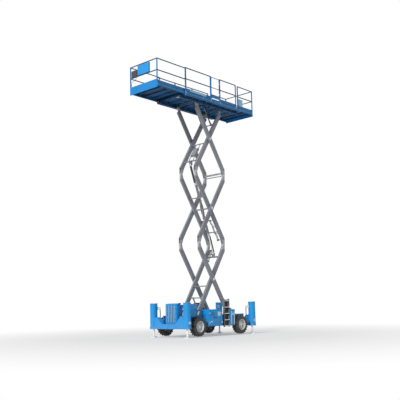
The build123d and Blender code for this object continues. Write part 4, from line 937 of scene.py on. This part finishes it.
def on_arm(level, lean, ahead, up, y):
    """World place of a point given along an arm, square to it, and across the machine."""
    turn = lean * TILT
    return Vector((STACK_X + ahead * math.cos(turn) - up * math.sin(turn), y,
                   FOOT_Z + STAGE * (level + 0.5) + ahead * math.sin(turn) + up * math.cos(turn)))


HALF_WIDE, HALF_DEEP = ARM_WIDE / 2 - 0.006, TUBE_DEEP / 2 - 0.003     # where the beads run
for name, (level, lean, y) in ARMS.items():
    here = partial(on_arm, level, lean)
    beads = bmesh.new()
    keepers = bmesh.new()
    outer = y == OUTER_Y
    for side, end in product(SIDES, SIDES):
        corners = [here(end * (TUBE_END + 0.001), up * HALF_DEEP, side * y + across * HALF_WIDE)
                   for up, across in ((-1, -1), (-1, 1), (1, 1), (1, -1))]
        closed_line(beads, corners, WELD, 8)
        up = lean * end * PIN_OFFSET
        shoe = (level == 0 and end * lean < 0) or (level == 2 and end * lean > 0)
        face = side * (y + HALF_WIDE + (0.0 if shoe or end * lean > 0 else 0.008))
        if not shoe:
            disc(keepers, here(end * PIN_HALF, up, face), (0, side, 0), (-0.001, 0.004, 0.007),
                 (0.040, 0.036), 28)
            if outer:
                plate = here(end * (PIN_HALF - 0.060), up * 0.72, face + side * 0.004)
                bolt(keepers, plate, (0, side, 0), 0.009)
        for step in (0.30, 0.90) if outer else (0.55,):
            disc(keepers, here(end * step, 0.0, side * (y + HALF_WIDE)), (0, side, 0),
                 (-0.001, 0.0025, 0.0035), (0.018, 0.014), 20)
    for side in SIDES if outer else ():
        centre = here(0.0, 0.0, side * (y + ARM_WIDE / 2))
        lathe(keepers, centre, (0, side, 0), [(-0.001, 0.066), (0.006, 0.066), (0.010, 0.060), (0.010, 0.040),
                                              (0.016, 0.036), (0.016, 0.0)], 36)
        for turn in around(6, plane=(0, 2)):
            bolt(keepers, centre + 0.050 * turn + side * 0.009 * ACROSS, (0, side, 0), 0.007)
    piece("welds_" + name, beads, arm_grey, name, 0.0, 50.0)
    piece("pin_keepers_" + name, keepers, zinc, name, 0.0, 40.0)

# ------------------------------------------------------------------ lift cylinders
# Two hydraulic rams in line. Each sprayed barrel has a bolted gland, a hard line between its
# ports and a holding valve on its flank, and each rod is chromed, with a grease nipple and a
# dark guard that slides back over the barrel.
ram_grey = painted("grey ram enamel", (0.20, 0.20, 0.215), 0.34, 0.0, 0.7, 0.2)
chrome = steel("chromed steel", (0.80, 0.81, 0.82), 1.0, 0.12, (3.0, 3.0, 40.0), 0.12)
brass = steel("dull brass", (0.55, 0.40, 0.18), 1.0, 0.35, (4.0, 4.0, 30.0), 0.3)
coat(["barrel_lower", "barrel_upper"], ram_grey, 0.004)
coat(["rod_lower", "rod_upper"], chrome, 0.003)
guard_dark = painted("dark guard enamel", (0.030, 0.032, 0.037), 0.45, 0.2, 0.5)
BARREL = 0.060
RAM_NECK, RAM_END = 0.080, 1.080     # ends of the barrel, along the ram from its foot
GUARD_RADIUS, GUARD_THICK, GUARD_SPREAD = 0.073, 0.004, math.radians(56)
GUARD_ENDS = (1.110, 1.925)          # along the ram from its foot
RAMS = {    # ram: pin at its foot, pin at its rod's eye, side of its ports
    "lower": (joint_at["barrel_lower_swing"], Vector((1.069, 0.0, 3.744)), 1),
    "upper": (joint_at["barrel_upper_swing"], Vector((-0.359, 0.0, 7.841)), -1)}


def on_ram(foot, run, distance, out, y):
    """World place of a point given along a ram from its foot, square to it, and across the machine."""
    return foot + run * distance + run.cross(ACROSS) * out + ACROSS * y


for name, (foot, eye, side) in RAMS.items():
    run = (eye - foot).normalized()
    across = run.cross(ACROSS)
    here = partial(on_ram, foot, run)
    collars = bmesh.new()
    lathe(collars, here(RAM_END - 0.070, 0, 0), run, [
        (0.0, BARREL - 0.002), (0.0, BARREL + 0.004), (0.048, BARREL + 0.004), (0.054, BARREL - 0.002)], 40)
    lathe(collars, here(RAM_END, 0, 0), run, [
        (-0.002, BARREL - 0.004), (0.003, BARREL - 0.006), (0.003, 0.0335)], 40)
    for angle in range(0, 360, 45):
        turn = math.radians(angle + 22)
        bolt(collars, here(RAM_END + 0.002, 0.047 * math.cos(turn), 0.047 * math.sin(turn)), run, 0.005)
    piece("gland_" + name, collars, zinc, "barrel_" + name, 0.001)

    ports = bmesh.new()
    for distance in (RAM_NECK + 0.085, RAM_END - 0.120):
        for near, far, radius, sides in ((-0.006, 0.020, 0.016, 20), (0.016, 0.026, 0.012, 6)):
            bar(ports, here(distance, 0, side * (BARREL + near)), here(distance, 0, side * (BARREL + far)),
                radius, sides)
    turn = Matrix((run, ACROSS, -across)).transposed().to_4x4()
    block(ports, here(RAM_NECK + 0.150, 0, side * (BARREL + 0.012)), (0.075, 0.034, 0.046), turn)
    for out in (-0.012, 0.012):
        spot = here(RAM_NECK + 0.190, out, side * (BARREL + 0.014))
        bar(ports, spot, spot + 0.016 * run, 0.009, 6)
    piece("holding_valve_" + name, ports, zinc, "barrel_" + name, 0.0015)
    line = [here(distance, out, side * (BARREL + proud)) for distance, out, proud in (
        (RAM_END - 0.120, 0, 0.012), (RAM_END - 0.150, 0, 0.022), (RAM_END - 0.200, 0.012, 0.012),
        (RAM_NECK + 0.260, 0.012, 0.012), (RAM_NECK + 0.205, 0.012, 0.014))]
    hose("hard_line_" + name, [line], 0.006, zinc, "barrel_" + name)

    guard = bmesh.new()
    middle = here(sum(GUARD_ENDS) / 2, 0, 0)
    edge_out = Matrix.Rotation(-GUARD_SPREAD, 3, run) @ across
    shape_at = Matrix((run * (GUARD_ENDS[1] - GUARD_ENDS[0]), edge_out * GUARD_THICK, run.cross(edge_out)))
    place = Matrix.Translation(middle + edge_out * (GUARD_RADIUS + GUARD_THICK / 2))
    strip = bmesh.ops.create_grid(guard, x_segments=1, y_segments=1, size=0.5,
                                  matrix=place @ shape_at.transposed().to_4x4())["verts"]
    bmesh.ops.spin(guard, geom=strip + guard.edges[:] + guard.faces[:], cent=middle, axis=run,
                   angle=2 * GUARD_SPREAD, steps=14)
    bmesh.ops.recalc_face_normals(guard, faces=guard.faces[:])
    for distance in (GUARD_ENDS[1] - 0.060, GUARD_ENDS[1] - 0.015):
        block(guard, here(distance, GUARD_RADIUS / 2 + 0.016, 0), (0.020, 0.030, 0.042), turn)
    piece("rod_guard_" + name, guard, guard_dark, "rod_" + name, 0.0, 40.0)
    for body, at in (("barrel_" + name, foot), ("rod_" + name, eye)):
        nipple = bmesh.new()
        spot = at + across * 0.044
        bar(nipple, spot, spot + across * 0.008, 0.006, 6)
        bar(nipple, spot + across * 0.008, spot + across * 0.014, 0.003, 10)
        piece("nipple_" + body, nipple, brass, body)

# ------------------------------------------------------------------ valve box and hoses on the arms
# A sheet-metal box under the platform covers the platform valve. Twin hoses are
# clipped along the near inner arms, from one swivel on a pivot to the next.
BOX_MID, BOX_UP = -0.75, 0.080      # of the box, along the arm and above its middle
here = partial(on_arm, 2, 1)
turn = Matrix.Rotation(-TILT, 4, "Y")
cover = bmesh.new()
block(cover, here(BOX_MID, BOX_UP + 0.004, 0), (0.40, 0.26, 0.010), turn)
for ahead, y in product((-0.16, 0.16), (-0.105, 0.105)):
    bolt(cover, here(BOX_MID + ahead, BOX_UP + 0.009, y), (-math.sin(TILT), 0, math.cos(TILT)), 0.006)
piece("valve_cover", cover, arm_grey, "arm_3_inner", 0.002)
valves = bmesh.new()
for step in range(4):
    spot = here(BOX_MID - 0.12 + step * 0.08, 0.020, -0.150)
    bar(valves, spot, spot - 0.022 * ACROSS, 0.015, 6)
    bar(valves, spot - 0.022 * ACROSS, spot - 0.040 * ACROSS, 0.010, 16)
piece("valve_stems", valves, zinc, "arm_3_inner")

HOSE_Y = -(INNER_Y - ARM_WIDE / 2 - 0.010)
HOSE_UP = (0.072, 0.091)        # of the two hoses, above the arm's middle
HOSE_R = 0.008
LINK_Y = -0.270                 # middle of a link's near plate
QUARTER = (PIN_HALF / 2, PIN_OFFSET / 2)    # pivot of a link, along its arm and square to it
HOSE_END = TUBE_END + 0.03
CLIP_PITCH = 0.42
SWIVEL_Y = -0.412
ELBOW_SWIVEL = [(-0.002, 0.034), (0.010, 0.034), (0.014, 0.026), (0.050, 0.026), (0.054, 0.020), (0.054, 0.0)]
LINK_SWIVEL = [(-0.004, 0.025), (-0.004, 0.036), (0.052, 0.036), (0.056, 0.030), (0.056, 0.025)]
RUNS = (    # arm, level, lean, start and end of its hoses along it, pivot at each end
    ("arm_1_inner", 0, 1, -PIN_HALF / 2, HOSE_END, (-QUARTER[0], -QUARTER[1]), (PIN_HALF, PIN_OFFSET)),
    ("arm_2_inner", 1, -1, HOSE_END, -HOSE_END, (PIN_HALF, -PIN_OFFSET), (-PIN_HALF, PIN_OFFSET)),
    ("arm_3_inner", 2, 1, -HOSE_END, PIN_HALF / 2, (-PIN_HALF, -PIN_OFFSET), QUARTER),
)
for name, level, lean, start, end, foot, head in RUNS:
    here = partial(on_arm, level, lean)
    step = math.copysign(1.0, end - start)
    runs = []
    for row, up in enumerate(HOSE_UP):
        lane = HOSE_Y + 0.018 + 0.018 * row
        runs.append([
            here(*foot, lane), here(foot[0] + step * 0.05, foot[1] + (up - foot[1]) * 0.5, lane),
            here(start + step * 0.16, up, HOSE_Y), here(start + step * 0.26, up, HOSE_Y),
            here(end - step * 0.26, up, HOSE_Y), here(end - step * 0.16, up, HOSE_Y),
            here(head[0] - step * 0.05, head[1] + (up - head[1]) * 0.5, lane), here(*head, lane)])
    hose("arm_hoses_" + name, runs, HOSE_R, black_hose, name)
    clips = bmesh.new()
    total = abs(end - start) - 0.52
    number = int(total / CLIP_PITCH) + 1
    turn = Matrix.Rotation(-lean * TILT, 4, "Y")
    for index in range(number):
        ahead = start + step * (0.26 + total * index / (number - 1))
        block(clips, here(ahead, sum(HOSE_UP) / 2, HOSE_Y + 0.003), (0.028, 0.026, 0.044), turn)
        bolt(clips, here(ahead, sum(HOSE_UP) / 2, HOSE_Y + 0.015), ACROSS, 0.005)
    piece("hose_clips_" + name, clips, handle_black, name, 0.003)
    swivels = bmesh.new()
    for pivot in (foot, head):
        profile = ELBOW_SWIVEL if abs(pivot[0]) == PIN_HALF else LINK_SWIVEL
        lathe(swivels, here(*pivot, SWIVEL_Y), ACROSS, profile, 28)
    piece("swivels_" + name, swivels, brass, name, 0.001)

# Looms of wavy hoses between the inner arms near the rear elbow, which feed the lower cylinder.
# They are tied to brackets on the arms' inner faces and end in junction blocks.
LOOM_R, BRACKET_R, WAVE = 0.014, 0.013, 0.016
ARM_FACE = INNER_Y - ARM_WIDE / 2
LOOMS = (    # arm, level, lean, start and end along it, distance of each hose from the middle
    ("arm_1_inner", 0, 1, 1.05, 1.66, (0.17, 0.24, 0.31)),
    ("arm_2_inner", 1, -1, 0.62, 1.66, (0.27, 0.33, -0.15, -0.21)),
)
for name, level, lean, start, end, lanes in LOOMS:
    here = partial(on_arm, level, lean)
    reach = end - start
    runs = [[here(start + reach * step / 8, (-1) ** step * WAVE, lane + (-1) ** (step // 2) * WAVE)
             for step in range(9)] for lane in lanes]
    hose("loom_" + name, runs, LOOM_R, black_hose, name)
    ties = bmesh.new()
    turn = Matrix.Rotation(-lean * TILT, 4, "Y")
    for side in sorted({math.copysign(1, lane) for lane in lanes}):
        near = [abs(lane) for lane in lanes if lane * side > 0]
        for share in (0.0, 0.33, 0.67, 1.0):
            ahead = start + reach * share
            bar(ties, here(ahead, 0, side * (ARM_FACE + 0.002)), here(ahead, 0, side * (min(near) - 0.020)),
                BRACKET_R, 12)
        for ahead in (start, end):
            block(ties, here(ahead, 0, side * sum(near) / len(near)),
                  (0.050, max(near) - min(near) + 0.060, 0.060), turn)
    piece("loom_ties_" + name, ties, handle_black, name, 0.002)

# The centring links carry the same twin hoses from the chassis and to the deck, clipped to
# their near face, with a ring round the pivot at the arm's end.
coat(["link_lower", "link_upper"], arm_grey, 0.004)
for name, level, end, fixed_z in (("link_lower", 0, -1, FOOT_Z), ("link_upper", 2, 1, HEAD_Z)):
    fixed = Vector((STACK_X, 0, fixed_z))
    far = on_arm(level, 1, end * QUARTER[0], end * QUARTER[1], 0)
    run = (far - fixed).normalized()
    square = ACROSS.cross(run)
    runs = []
    for row in SIDES:
        edge = far + ACROSS * (-0.330 + row * 0.010)
        lane = ACROSS * (LINK_Y - 0.024) + square * 0.012 * row
        runs.append([edge, edge - run * 0.05 + square * 0.01 * row, far + lane - run * 0.14,
                     far + lane - run * 0.20, fixed + lane + run * 0.14, fixed + lane + run * 0.08])
    hose("link_hoses_" + name, runs, HOSE_R, black_hose, name)
    clips = bmesh.new()
    turn = Matrix((run, ACROSS, square)).transposed().to_4x4()
    for distance in (0.12, 0.36, 0.60, 0.78):
        block(clips, fixed + run * distance + ACROSS * (LINK_Y - 0.023), (0.026, 0.020, 0.050), turn)
    piece("hose_clips_" + name, clips, handle_black, name, 0.003)
    rings = bmesh.new()
    lathe(rings, far - 0.350 * ACROSS, ACROSS,
          [(0.0, 0.0255), (0.0, 0.036), (0.044, 0.036), (0.046, 0.0255)], 28)
    for side in SIDES:
        hoop(rings, far + side * 0.285 * ACROSS, (0, side, 0), (0.0, 0.006), (0.0255, 0.038), 28)
    piece("swivels_" + name, rings, brass, name, 0.001)

# ------------------------------------------------------------------ platform decks
# Welded steel decks: deep side beams, joists and a pressed floor with a raised tread. The
# underside and what lies under the floor are darkened in patches as painted shade, and the floor is worn to
# bare metal where people walk.
FLOOR_Z, STEP_Z, BEAM_LOW = 10.929, 10.844, 10.709     # roll-out floors, main floor, beams' foot
DECK_SIDE = 0.930               # outer faces of the side beams
INSIDE = (3.300, 0.868, 10.915)      # half length, half width and top of what is under the floor
# Painted shade colour of the deck's underside and of what is under its floor.
UNDERSIDE_SHADE_NAVY = (0.006, 0.030, 0.082)


def deck_enamel(name, shade, under):
    """Blue enamel with the underside and what is under the floor darkened as painted shade, and a worn grey
    tread on top.
    """
    material, tree, shader, start = new_material(name)
    normal = start.add("ShaderNodeNewGeometry", out=1)
    facing = start.add("ShaderNodeSeparateXYZ", None, {0: normal}, out=2)
    # Painted shade: faces turned down, and everything under the floor within INSIDE, take the dark underside
    # colour.
    shaded_below = (facing * -1.0).ramp(0.4, 0.6)
    inside = INSIDE[2] - start.height() > 0.0
    for axis in (0, 1):
        reach = start.add("ShaderNodeSeparateXYZ", None, {0: start.place()}, out=axis).math("ABSOLUTE")
        inside = inside * (INSIDE[axis] - reach > 0.0)
    shaded_below = shaded_below.math("MAXIMUM", inside)
    above = facing.ramp(0.9, 0.97) * (start.height() - (STEP_Z - 0.01)).ramp(0.0, 0.005)
    cloud = start.noise(1.2, 5.0).ramp(0.32, 0.68)
    runs = start.noise(1.2, 4.0, start.place((7.0, 7.0, 0.8))).ramp(0.50, 0.75)
    shade_now = (cloud * 0.5 + runs * 0.4).math("MINIMUM", 1.0).blend(shade, scaled(shade, 0.66))
    # Patches in the painted shade of the underside.
    shade_patches = start.noise(3.0, 5.0).ramp(0.30, 0.70) * 0.4 + 0.6
    shade_now = (shaded_below * shade_patches).blend(shade_now, under)
    wear = start.noise(1.6, 5.0).ramp(0.42, 0.62)
    shade_now = above.blend(shade_now, wear.blend((0.085, 0.090, 0.096), (0.20, 0.20, 0.205)))
    shade_now = chipped(start, shade_now, 24.0, 0.67, 0.35, (0.30, 0.31, 0.32))
    bars = start.add("ShaderNodeTexBrick", {"offset": 0.5}, {
        "Vector": start.place(turn=(0, 0, math.radians(45))), "Color1": (0, 0, 0, 1), "Color2": (0, 0, 0, 1),
        "Mortar": (1, 1, 1, 1), "Scale": 22.0, "Mortar Size": 0.10, "Brick Width": 0.9, "Row Height": 0.45})
    peel = orange_peel(start, 150.0, 2.2, 0.4, 1.6)
    raised = above * bars * 3.0
    connect(tree, shader, Base_Color=shade_now,
            Roughness=shaded_below * 0.25 + (above * 0.15 + (cloud * 0.1 + 0.30)), Metallic=above * wear * 0.5,
            Normal=relief(start, peel + raised, 0.0016, 0.5), Specular_IOR_Level=0.28)
    return material


deck_paint = deck_enamel("blue deck enamel", (0.008, 0.250, 0.640), UNDERSIDE_SHADE_NAVY)
coat(["main_deck", "front_deck", "rear_deck"], deck_paint, 0.003)
main_low, main_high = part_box("main_deck")
BEAM_X = (main_low.x + main_high.x) / 2 - 0.013     # middle of the side beams
SIDE_POSTS = (-1.585, -0.40, 0.125, 0.795, 1.975)   # post brackets along each beam
# Height and proud of the dark strips that are painted shadow lines on the side beams.
SHADOW_STRIP_TALL, SHADOW_STRIP_PROUD = 0.038, 0.004
TRAY_X, TRAY_Y = -0.62, -0.335
lips, shadow_strips, rivets, braces, tray = (bmesh.new() for _ in range(5))
for side in SIDES:
    y = side * DECK_SIDE
    for z, tall, proud in ((BEAM_LOW + 0.006, 0.012, 0.010), (BEAM_LOW + 0.118, 0.008, 0.005),
                           (FLOOR_Z - 0.010, 0.014, 0.006)):
        block(lips, (BEAM_X, y + side * proud / 2, z), (3.86, proud, tall))
    # Painted shadow lines: two dark strips along each side beam.
    for z in (FLOOR_Z - 0.040, BEAM_LOW + 0.046):
        block(shadow_strips, (BEAM_X, side * (DECK_SIDE + SHADOW_STRIP_PROUD / 2), z), (3.84, SHADOW_STRIP_PROUD, SHADOW_STRIP_TALL))
    for x in SIDE_POSTS:
        block(lips, (x, y + side * 0.004, FLOOR_Z - 0.085), (0.075, 0.008, 0.120))
        for z, dx in product((FLOOR_Z - 0.120, FLOOR_Z - 0.050), (-0.022, 0.022)):
            bolt(rivets, (x + dx, side * (DECK_SIDE + 0.008), z), (0, side, 0), 0.009)
    for count in range(16):
        bolt(rivets, (-1.35 + count * 0.225, y, BEAM_LOW + 0.055), (0, side, 0), 0.007)
    for count in range(8):
        x = -1.485 + count * 0.46
        for z, near, far in ((STEP_Z - 0.040, 0.10, 0.62), (STEP_Z - 0.026, 0.62, 0.10)):
            bar(braces, (x + 0.03, side * near, z), (x + 0.42, side * far, z), 0.009, 10)
        block(braces, (x + 0.225, side * 0.790, BEAM_LOW + 0.053), (0.400, 0.030, 0.006))
piece("side_lips", lips, deck_paint, "platform", 0.002)
piece("side_rub_rails", shadow_strips, handle_black, "platform", 0.001)
piece("deck_bolts", rivets, zinc, "platform")
piece("floor_braces", braces, frame_blue, "platform", 0.0, 50.0)
block(tray, (TRAY_X, TRAY_Y, STEP_Z - 0.030), (1.70, 0.090, 0.006))
for side in SIDES:
    block(tray, (TRAY_X, TRAY_Y + side * 0.043, STEP_Z - 0.040), (1.70, 0.004, 0.024))
block(tray, (-1.475, TRAY_Y, STEP_Z - 0.050), (0.110, 0.150, 0.055))
piece("hose_tray", tray, zinc, "platform", 0.001)
TRAY_RUN = ((STACK_X + 0.002, HEAD_Z + 0.010), (STACK_X - 0.02, HEAD_Z + 0.070),
            (STACK_X - 0.09, STEP_Z - 0.045), (STACK_X - 0.22, STEP_Z - 0.045), (-1.42, STEP_Z - 0.045))
runs = [[(x, TRAY_Y + row * 0.018, z) for x, z in TRAY_RUN] for row in SIDES]
hose("tray_hoses", runs, HOSE_R, black_hose, "platform")
rollers = bmesh.new()
for x, side in product((main_low.x + 0.045, main_high.x - 0.045), SIDES):
    block(rollers, (x, side * 0.870, FLOOR_Z - 0.205), (0.060, 0.020, 0.020))
    bolt(rollers, (x, side * DECK_SIDE, FLOOR_Z - 0.165), (0, side, 0), 0.012)
piece("slide_stops", rollers, zinc, "platform", 0.002)

# Roll-out decks: ribs and lips on the outer end, screws along the sides with dark strips that are
# painted shadow lines, and a roller at the inner end.
SCREW_PITCH = 0.11
SLIDE_SIDE = 0.875              # outer faces of the roll-out decks
POST_SIDE = 0.855               # middle of the posts on them
for name, end, inner, out in (("front", -3.325, -1.455, -1), ("rear", 3.355, 2.145, 1)):
    body = name + "_deck"
    edge, strips, fittings = (bmesh.new() for _ in range(3))
    for z, tall in ((FLOOR_Z - 0.205, 0.016), (FLOOR_Z + 0.132, 0.014)):
        block(edge, (end - out * 0.0245, 0, z), (0.009, 1.70, tall))
    for y in (-0.60, -0.20, 0.20, 0.60):
        block(edge, (end - out * 0.034, y, FLOOR_Z - 0.110), (0.030, 0.012, 0.180))
    start_x = end - out * 0.10
    reach = abs(inner - start_x)
    for side in SIDES:
        for count in range(int((reach - 0.05) / SCREW_PITCH)):
            x = start_x - out * (0.06 + count * SCREW_PITCH)
            screw = Vector((x, side * SLIDE_SIDE, FLOOR_Z - 0.050))
            bar(edge, screw, screw + side * 0.003 * ACROSS, 0.012, 12)
        # Painted shadow lines: two dark strips along each side.
        for drop, tall in ((0.021, 0.028), (0.134, 0.034)):
            block(strips, ((start_x + inner) / 2, side * (SLIDE_SIDE + 0.001), FLOOR_Z - drop),
                  (reach, 0.002, tall))
        for x, drop in product((end - out * 0.020, inner + out * 0.050), (0.030, 0.080)):
            bolt(fittings, (x, side * SLIDE_SIDE, FLOOR_Z - drop), (0, side, 0), 0.008)
        x, z = inner + out * 0.17, FLOOR_Z - 0.145
        bar(fittings, (x, side * 0.834, z), (x, side * 0.800, z), 0.014)
    piece(body + "_edges", edge, deck_paint, body, 0.001)
    piece(name + "_rub_rails", strips, handle_black, body)
    piece(body + "_bolts", fittings, zinc, body)

# ------------------------------------------------------------------ guardrails and gate
# Square steel posts in sockets, with top, middle and toe rails welded between them. The
# rails are a duller slate blue than the posts. The gate has a sprung latch and two straps.
TOP_Z, MID_Z = 12.011, 11.489       # middles of the top and middle rails


def rail_enamel(name):
    """Blue posts between slate rails, with the top rail rubbed bare in patches."""
    material, tree, shader, start = new_material(name)
    level = start.height()
    near_top, near_mid = ((level - z).math("ABSOLUTE").ramp(0.024, 0.016) for z in (TOP_Z, MID_Z))
    rails = near_top.math("MAXIMUM", near_mid)
    cloud = start.noise(2.0, 5.0).ramp(0.32, 0.68)
    posts = cloud.blend((0.012, 0.200, 0.520), (0.009, 0.130, 0.350))
    slate = cloud.blend((0.034, 0.085, 0.150), (0.022, 0.052, 0.095))
    shade_now = rails.blend(posts, slate)
    rubbed = start.noise(14.0, 5.0).ramp(0.60, 0.68) * near_top * 0.7
    shade_now = rubbed.blend(shade_now, (0.20, 0.22, 0.24))
    shade_now = chipped(start, shade_now, 40.0, 0.68, 0.5, (0.26, 0.27, 0.28))
    peel = orange_peel(start, 170.0, 3.0, 0.6, 1.5)
    connect(tree, shader, Base_Color=shade_now, Roughness=cloud * 0.12 + 0.32,
            Metallic=rubbed * 0.5, Normal=relief(start, peel, 0.0010, 0.35),
            Specular_IOR_Level=0.28)
    return material


rail_paint = rail_enamel("blue rail enamel")
coat(["main_guardrails", "front_guardrail", "rear_guardrail", "entry_gate"], rail_paint, 0.005)
GATE_Y = -0.9075
POSTS = {   # body: (x, y) of its guardrail posts
    "platform": [*product((-1.585, 0.125, 0.795, 1.975), (GATE_Y,)),
                 *product((-1.585, -0.400, 0.800, 1.975), (-GATE_Y,))],
    "front_deck": [*product((-3.305, -1.505), (-POST_SIDE, POST_SIDE))],
    "rear_deck": [*product((3.335, 2.195), (-POST_SIDE, POST_SIDE))],
}
RAIL_WELDS = (MID_Z - 0.019, MID_Z + 0.019, TOP_Z - 0.019)
OUTER_X = 3.0                   # a post beyond this has no room for a socket on its outer side
for body, spots in POSTS.items():
    sockets = bmesh.new()
    for (x, y), dx in product(spots, SIDES):
        if abs(x) > OUTER_X and dx * x > 0:
            continue
        block(sockets, (x + dx * 0.023, y, FLOOR_Z + 0.045), (0.006, 0.040, 0.090))
        bolt(sockets, (x + dx * 0.026, y, FLOOR_Z + 0.060), (dx, 0, 0), 0.006)
        for z in RAIL_WELDS:
            bar(sockets, (x + dx * 0.021, y - 0.016, z), (x + dx * 0.021, y + 0.016, z), 0.004, 6)
    piece(body + "_post_sockets", sockets, rail_paint, body, 0.001)
    if body == "platform":
        continue
    rings = bmesh.new()
    for x, y in spots:
        inward = -math.copysign(1.0, y)
        plate = Vector((x - math.copysign(0.006, x), y + inward * 0.023, FLOOR_Z + 0.316))
        centre = plate + Vector((0, inward * 0.004, -0.030))
        points = [centre + Vector((0.020 * turn.x, 0, 0.026 * turn.z)) for turn in around(16, plane=(0, 2))]
        closed_line(rings, points, 0.004, 8)
        block(rings, plate, (0.030, 0.005, 0.026))
    piece(body + "_lanyard_rings", rings, zinc, body, 0.0, 60.0)
gate_low, gate_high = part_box("entry_gate")
latch = bmesh.new()
knob = Vector((gate_low.x + 0.025, -0.846, TOP_Z - 0.120))
block(latch, (gate_low.x + 0.019, -0.900, TOP_Z - 0.140), (0.040, 0.034, 0.110))
bar(latch, knob - 0.038 * ACROSS, knob, 0.008, 12)
lathe(latch, knob, ACROSS, [(-0.004, 0.0), (-0.004, 0.014), (0.006, 0.018), (0.014, 0.012), (0.016, 0.0)], 20)
piece("gate_latch", latch, handle_black, "entry_gate", 0.002)
straps = bmesh.new()
hinge_x = gate_high.x - 0.015
for z in (FLOOR_Z + 0.32, TOP_Z - 0.24):
    hoop(straps, (hinge_x, GATE_Y, z), UP, (-0.035, 0.035), (0.0153, 0.0195), 24)
    block(straps, (hinge_x - 0.040, GATE_Y, z), (0.060, 0.008, 0.030))
piece("gate_straps", straps, zinc, "entry_gate", 0.001)

# ------------------------------------------------------------------ platform controls and manual box
# The control box has a joystick in a rubber gaiter, rocker switches and a stop button, and a
# cable down the rail. The manual box beside it is sheet metal, with a hinged, latched lid.
box_black = moulded("black control housing", (0.030, 0.031, 0.034), 0.50)
box_blue = painted("pale blue box enamel", (0.018, 0.300, 0.720), 0.36, 0.0, 0.4, 0.2)
coat(["control_box"], box_black, 0.010)
coat(["manual_box"], box_blue, 0.006)
low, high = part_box("control_box")
middle = (low + high) / 2
panel = bmesh.new()
block(panel, (high.x + 0.002, middle.y, middle.z), (0.006, 0.320, 0.260))
for y, z in product((-0.145, 0.145), (-0.115, 0.115)):
    bolt(panel, (high.x + 0.005, middle.y + y, middle.z + z), (1, 0, 0), 0.005)
for y in (low.y + 0.06, high.y - 0.06):
    block(panel, (low.x + 0.060, y, high.z + 0.004), (0.060, 0.030, 0.008))
piece("control_panel", panel, zinc, "front_deck", 0.001)
stick = bmesh.new()
spot = Vector((high.x + 0.005, middle.y + 0.06, middle.z + 0.02))
lathe(stick, spot, (1, 0, 0), [
    (0.0, 0.042), (0.006, 0.042), (0.010, 0.034), (0.016, 0.036), (0.020, 0.027), (0.026, 0.029),
    (0.030, 0.020), (0.036, 0.021), (0.040, 0.012), (0.075, 0.011), (0.080, 0.017), (0.115, 0.019),
    (0.128, 0.012), (0.130, 0.0)], 32)
for row, column in product(range(2), range(3)):
    block(stick, (high.x + 0.012, middle.y - 0.13 + column * 0.040, middle.z - 0.08 + row * 0.05),
          (0.018, 0.022, 0.032))
piece("joystick", stick, handle_black, "front_deck", 0.001)
button = bmesh.new()
spot = Vector((high.x + 0.005, middle.y - 0.09, middle.z + 0.075))
lathe(button, spot, (1, 0, 0), [
    (0.0, 0.016), (0.014, 0.016), (0.014, 0.026), (0.024, 0.026), (0.030, 0.020), (0.031, 0.0)], 28)
piece("platform_stop", button, red_plastic, "front_deck")
cable = [(low.x + 0.05, low.y + 0.05, low.z + 0.01), (low.x + 0.05, low.y + 0.05, low.z - 0.06),
         (-3.278, 0.62, MID_Z - 0.12), (-3.275, 0.80, MID_Z - 0.16), (-3.277, 0.823, MID_Z - 0.26),
         (-3.277, 0.823, FLOOR_Z + 0.30), (-3.277, 0.823, FLOOR_Z + 0.12), (-3.270, 0.815, FLOOR_Z + 0.004)]
hose("control_cable", [cable], 0.008, black_hose, "front_deck")
low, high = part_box("manual_box")
middle = (low + high) / 2
lid = bmesh.new()
deep, wide = high.x - low.x, high.y - low.y
block(lid, (middle.x + 0.002, middle.y, high.z + 0.003), (deep + 0.004, wide + 0.010, 0.008))
block(lid, (high.x + 0.003, middle.y, high.z - 0.018), (0.006, wide + 0.010, 0.042))
for z in (low.z + 0.11, low.z + 0.27):
    block(lid, (high.x + 0.0015, middle.y, z), (0.004, wide - 0.12, 0.010))
piece("manual_lid", lid, box_blue, "front_deck", 0.002)
catch = bmesh.new()
block(catch, (high.x + 0.010, middle.y, high.z - 0.045), (0.012, 0.036, 0.070))
for y in (low.y + 0.10, high.y - 0.10):
    hinge = Vector((low.x + 0.006, y, high.z + 0.009))
    bar(catch, hinge - 0.035 * ACROSS, hinge + 0.035 * ACROSS, 0.006, 16)
piece("manual_catch", catch, zinc, "front_deck", 0.001)
clamps = bmesh.new()
for y in (low.y + 0.05, high.y - 0.05):
    block(clamps, (low.x + 0.050, y, TOP_Z - 0.020), (0.080, 0.026, 0.006))
    block(clamps, (high.x + 0.004, y, MID_Z + 0.08), (0.006, 0.026, 0.120))
piece("manual_clamps", clamps, rail_paint, "front_deck", 0.001)

# ------------------------------------------------------------------ blank plates on the platform
# Thin pale plates without lettering, riveted inside both toe boards of the main deck and to
# the rails of the rear deck.
plate_blue = painted("pale plate enamel", (0.30, 0.62, 0.84), 0.42, 0.0, 0.5, 0.1)
for name, body, centre, size in (
        ("side_plate", "platform", (-0.72, -0.8953, FLOOR_Z + 0.062), (1.10, 0.003, 0.085)),
        ("far_side_plate", "platform", (-0.99, 0.8953, FLOOR_Z + 0.062), (1.00, 0.003, 0.085)),
        ("rear_rail_plate", "rear_deck", (2.42, -0.838, FLOOR_Z + 0.300), (0.36, 0.004, 0.340)),
        ("far_rail_plate", "rear_deck", (2.42, 0.838, FLOOR_Z + 0.300), (0.36, 0.004, 0.340))):
    plate = bmesh.new()
    block(plate, centre, size)
    facing = math.copysign(1.0, centre[1])
    for dx, dz in product((-0.45, 0.45), (-0.38, 0.38)):
        at = Vector(centre) + Vector((dx * size[0], facing * size[1] / 2, dz * size[2]))
        bar(plate, at, at + facing * 0.002 * ACROSS, 0.006, 12)
    piece(name, plate, plate_blue, body, 0.0008)
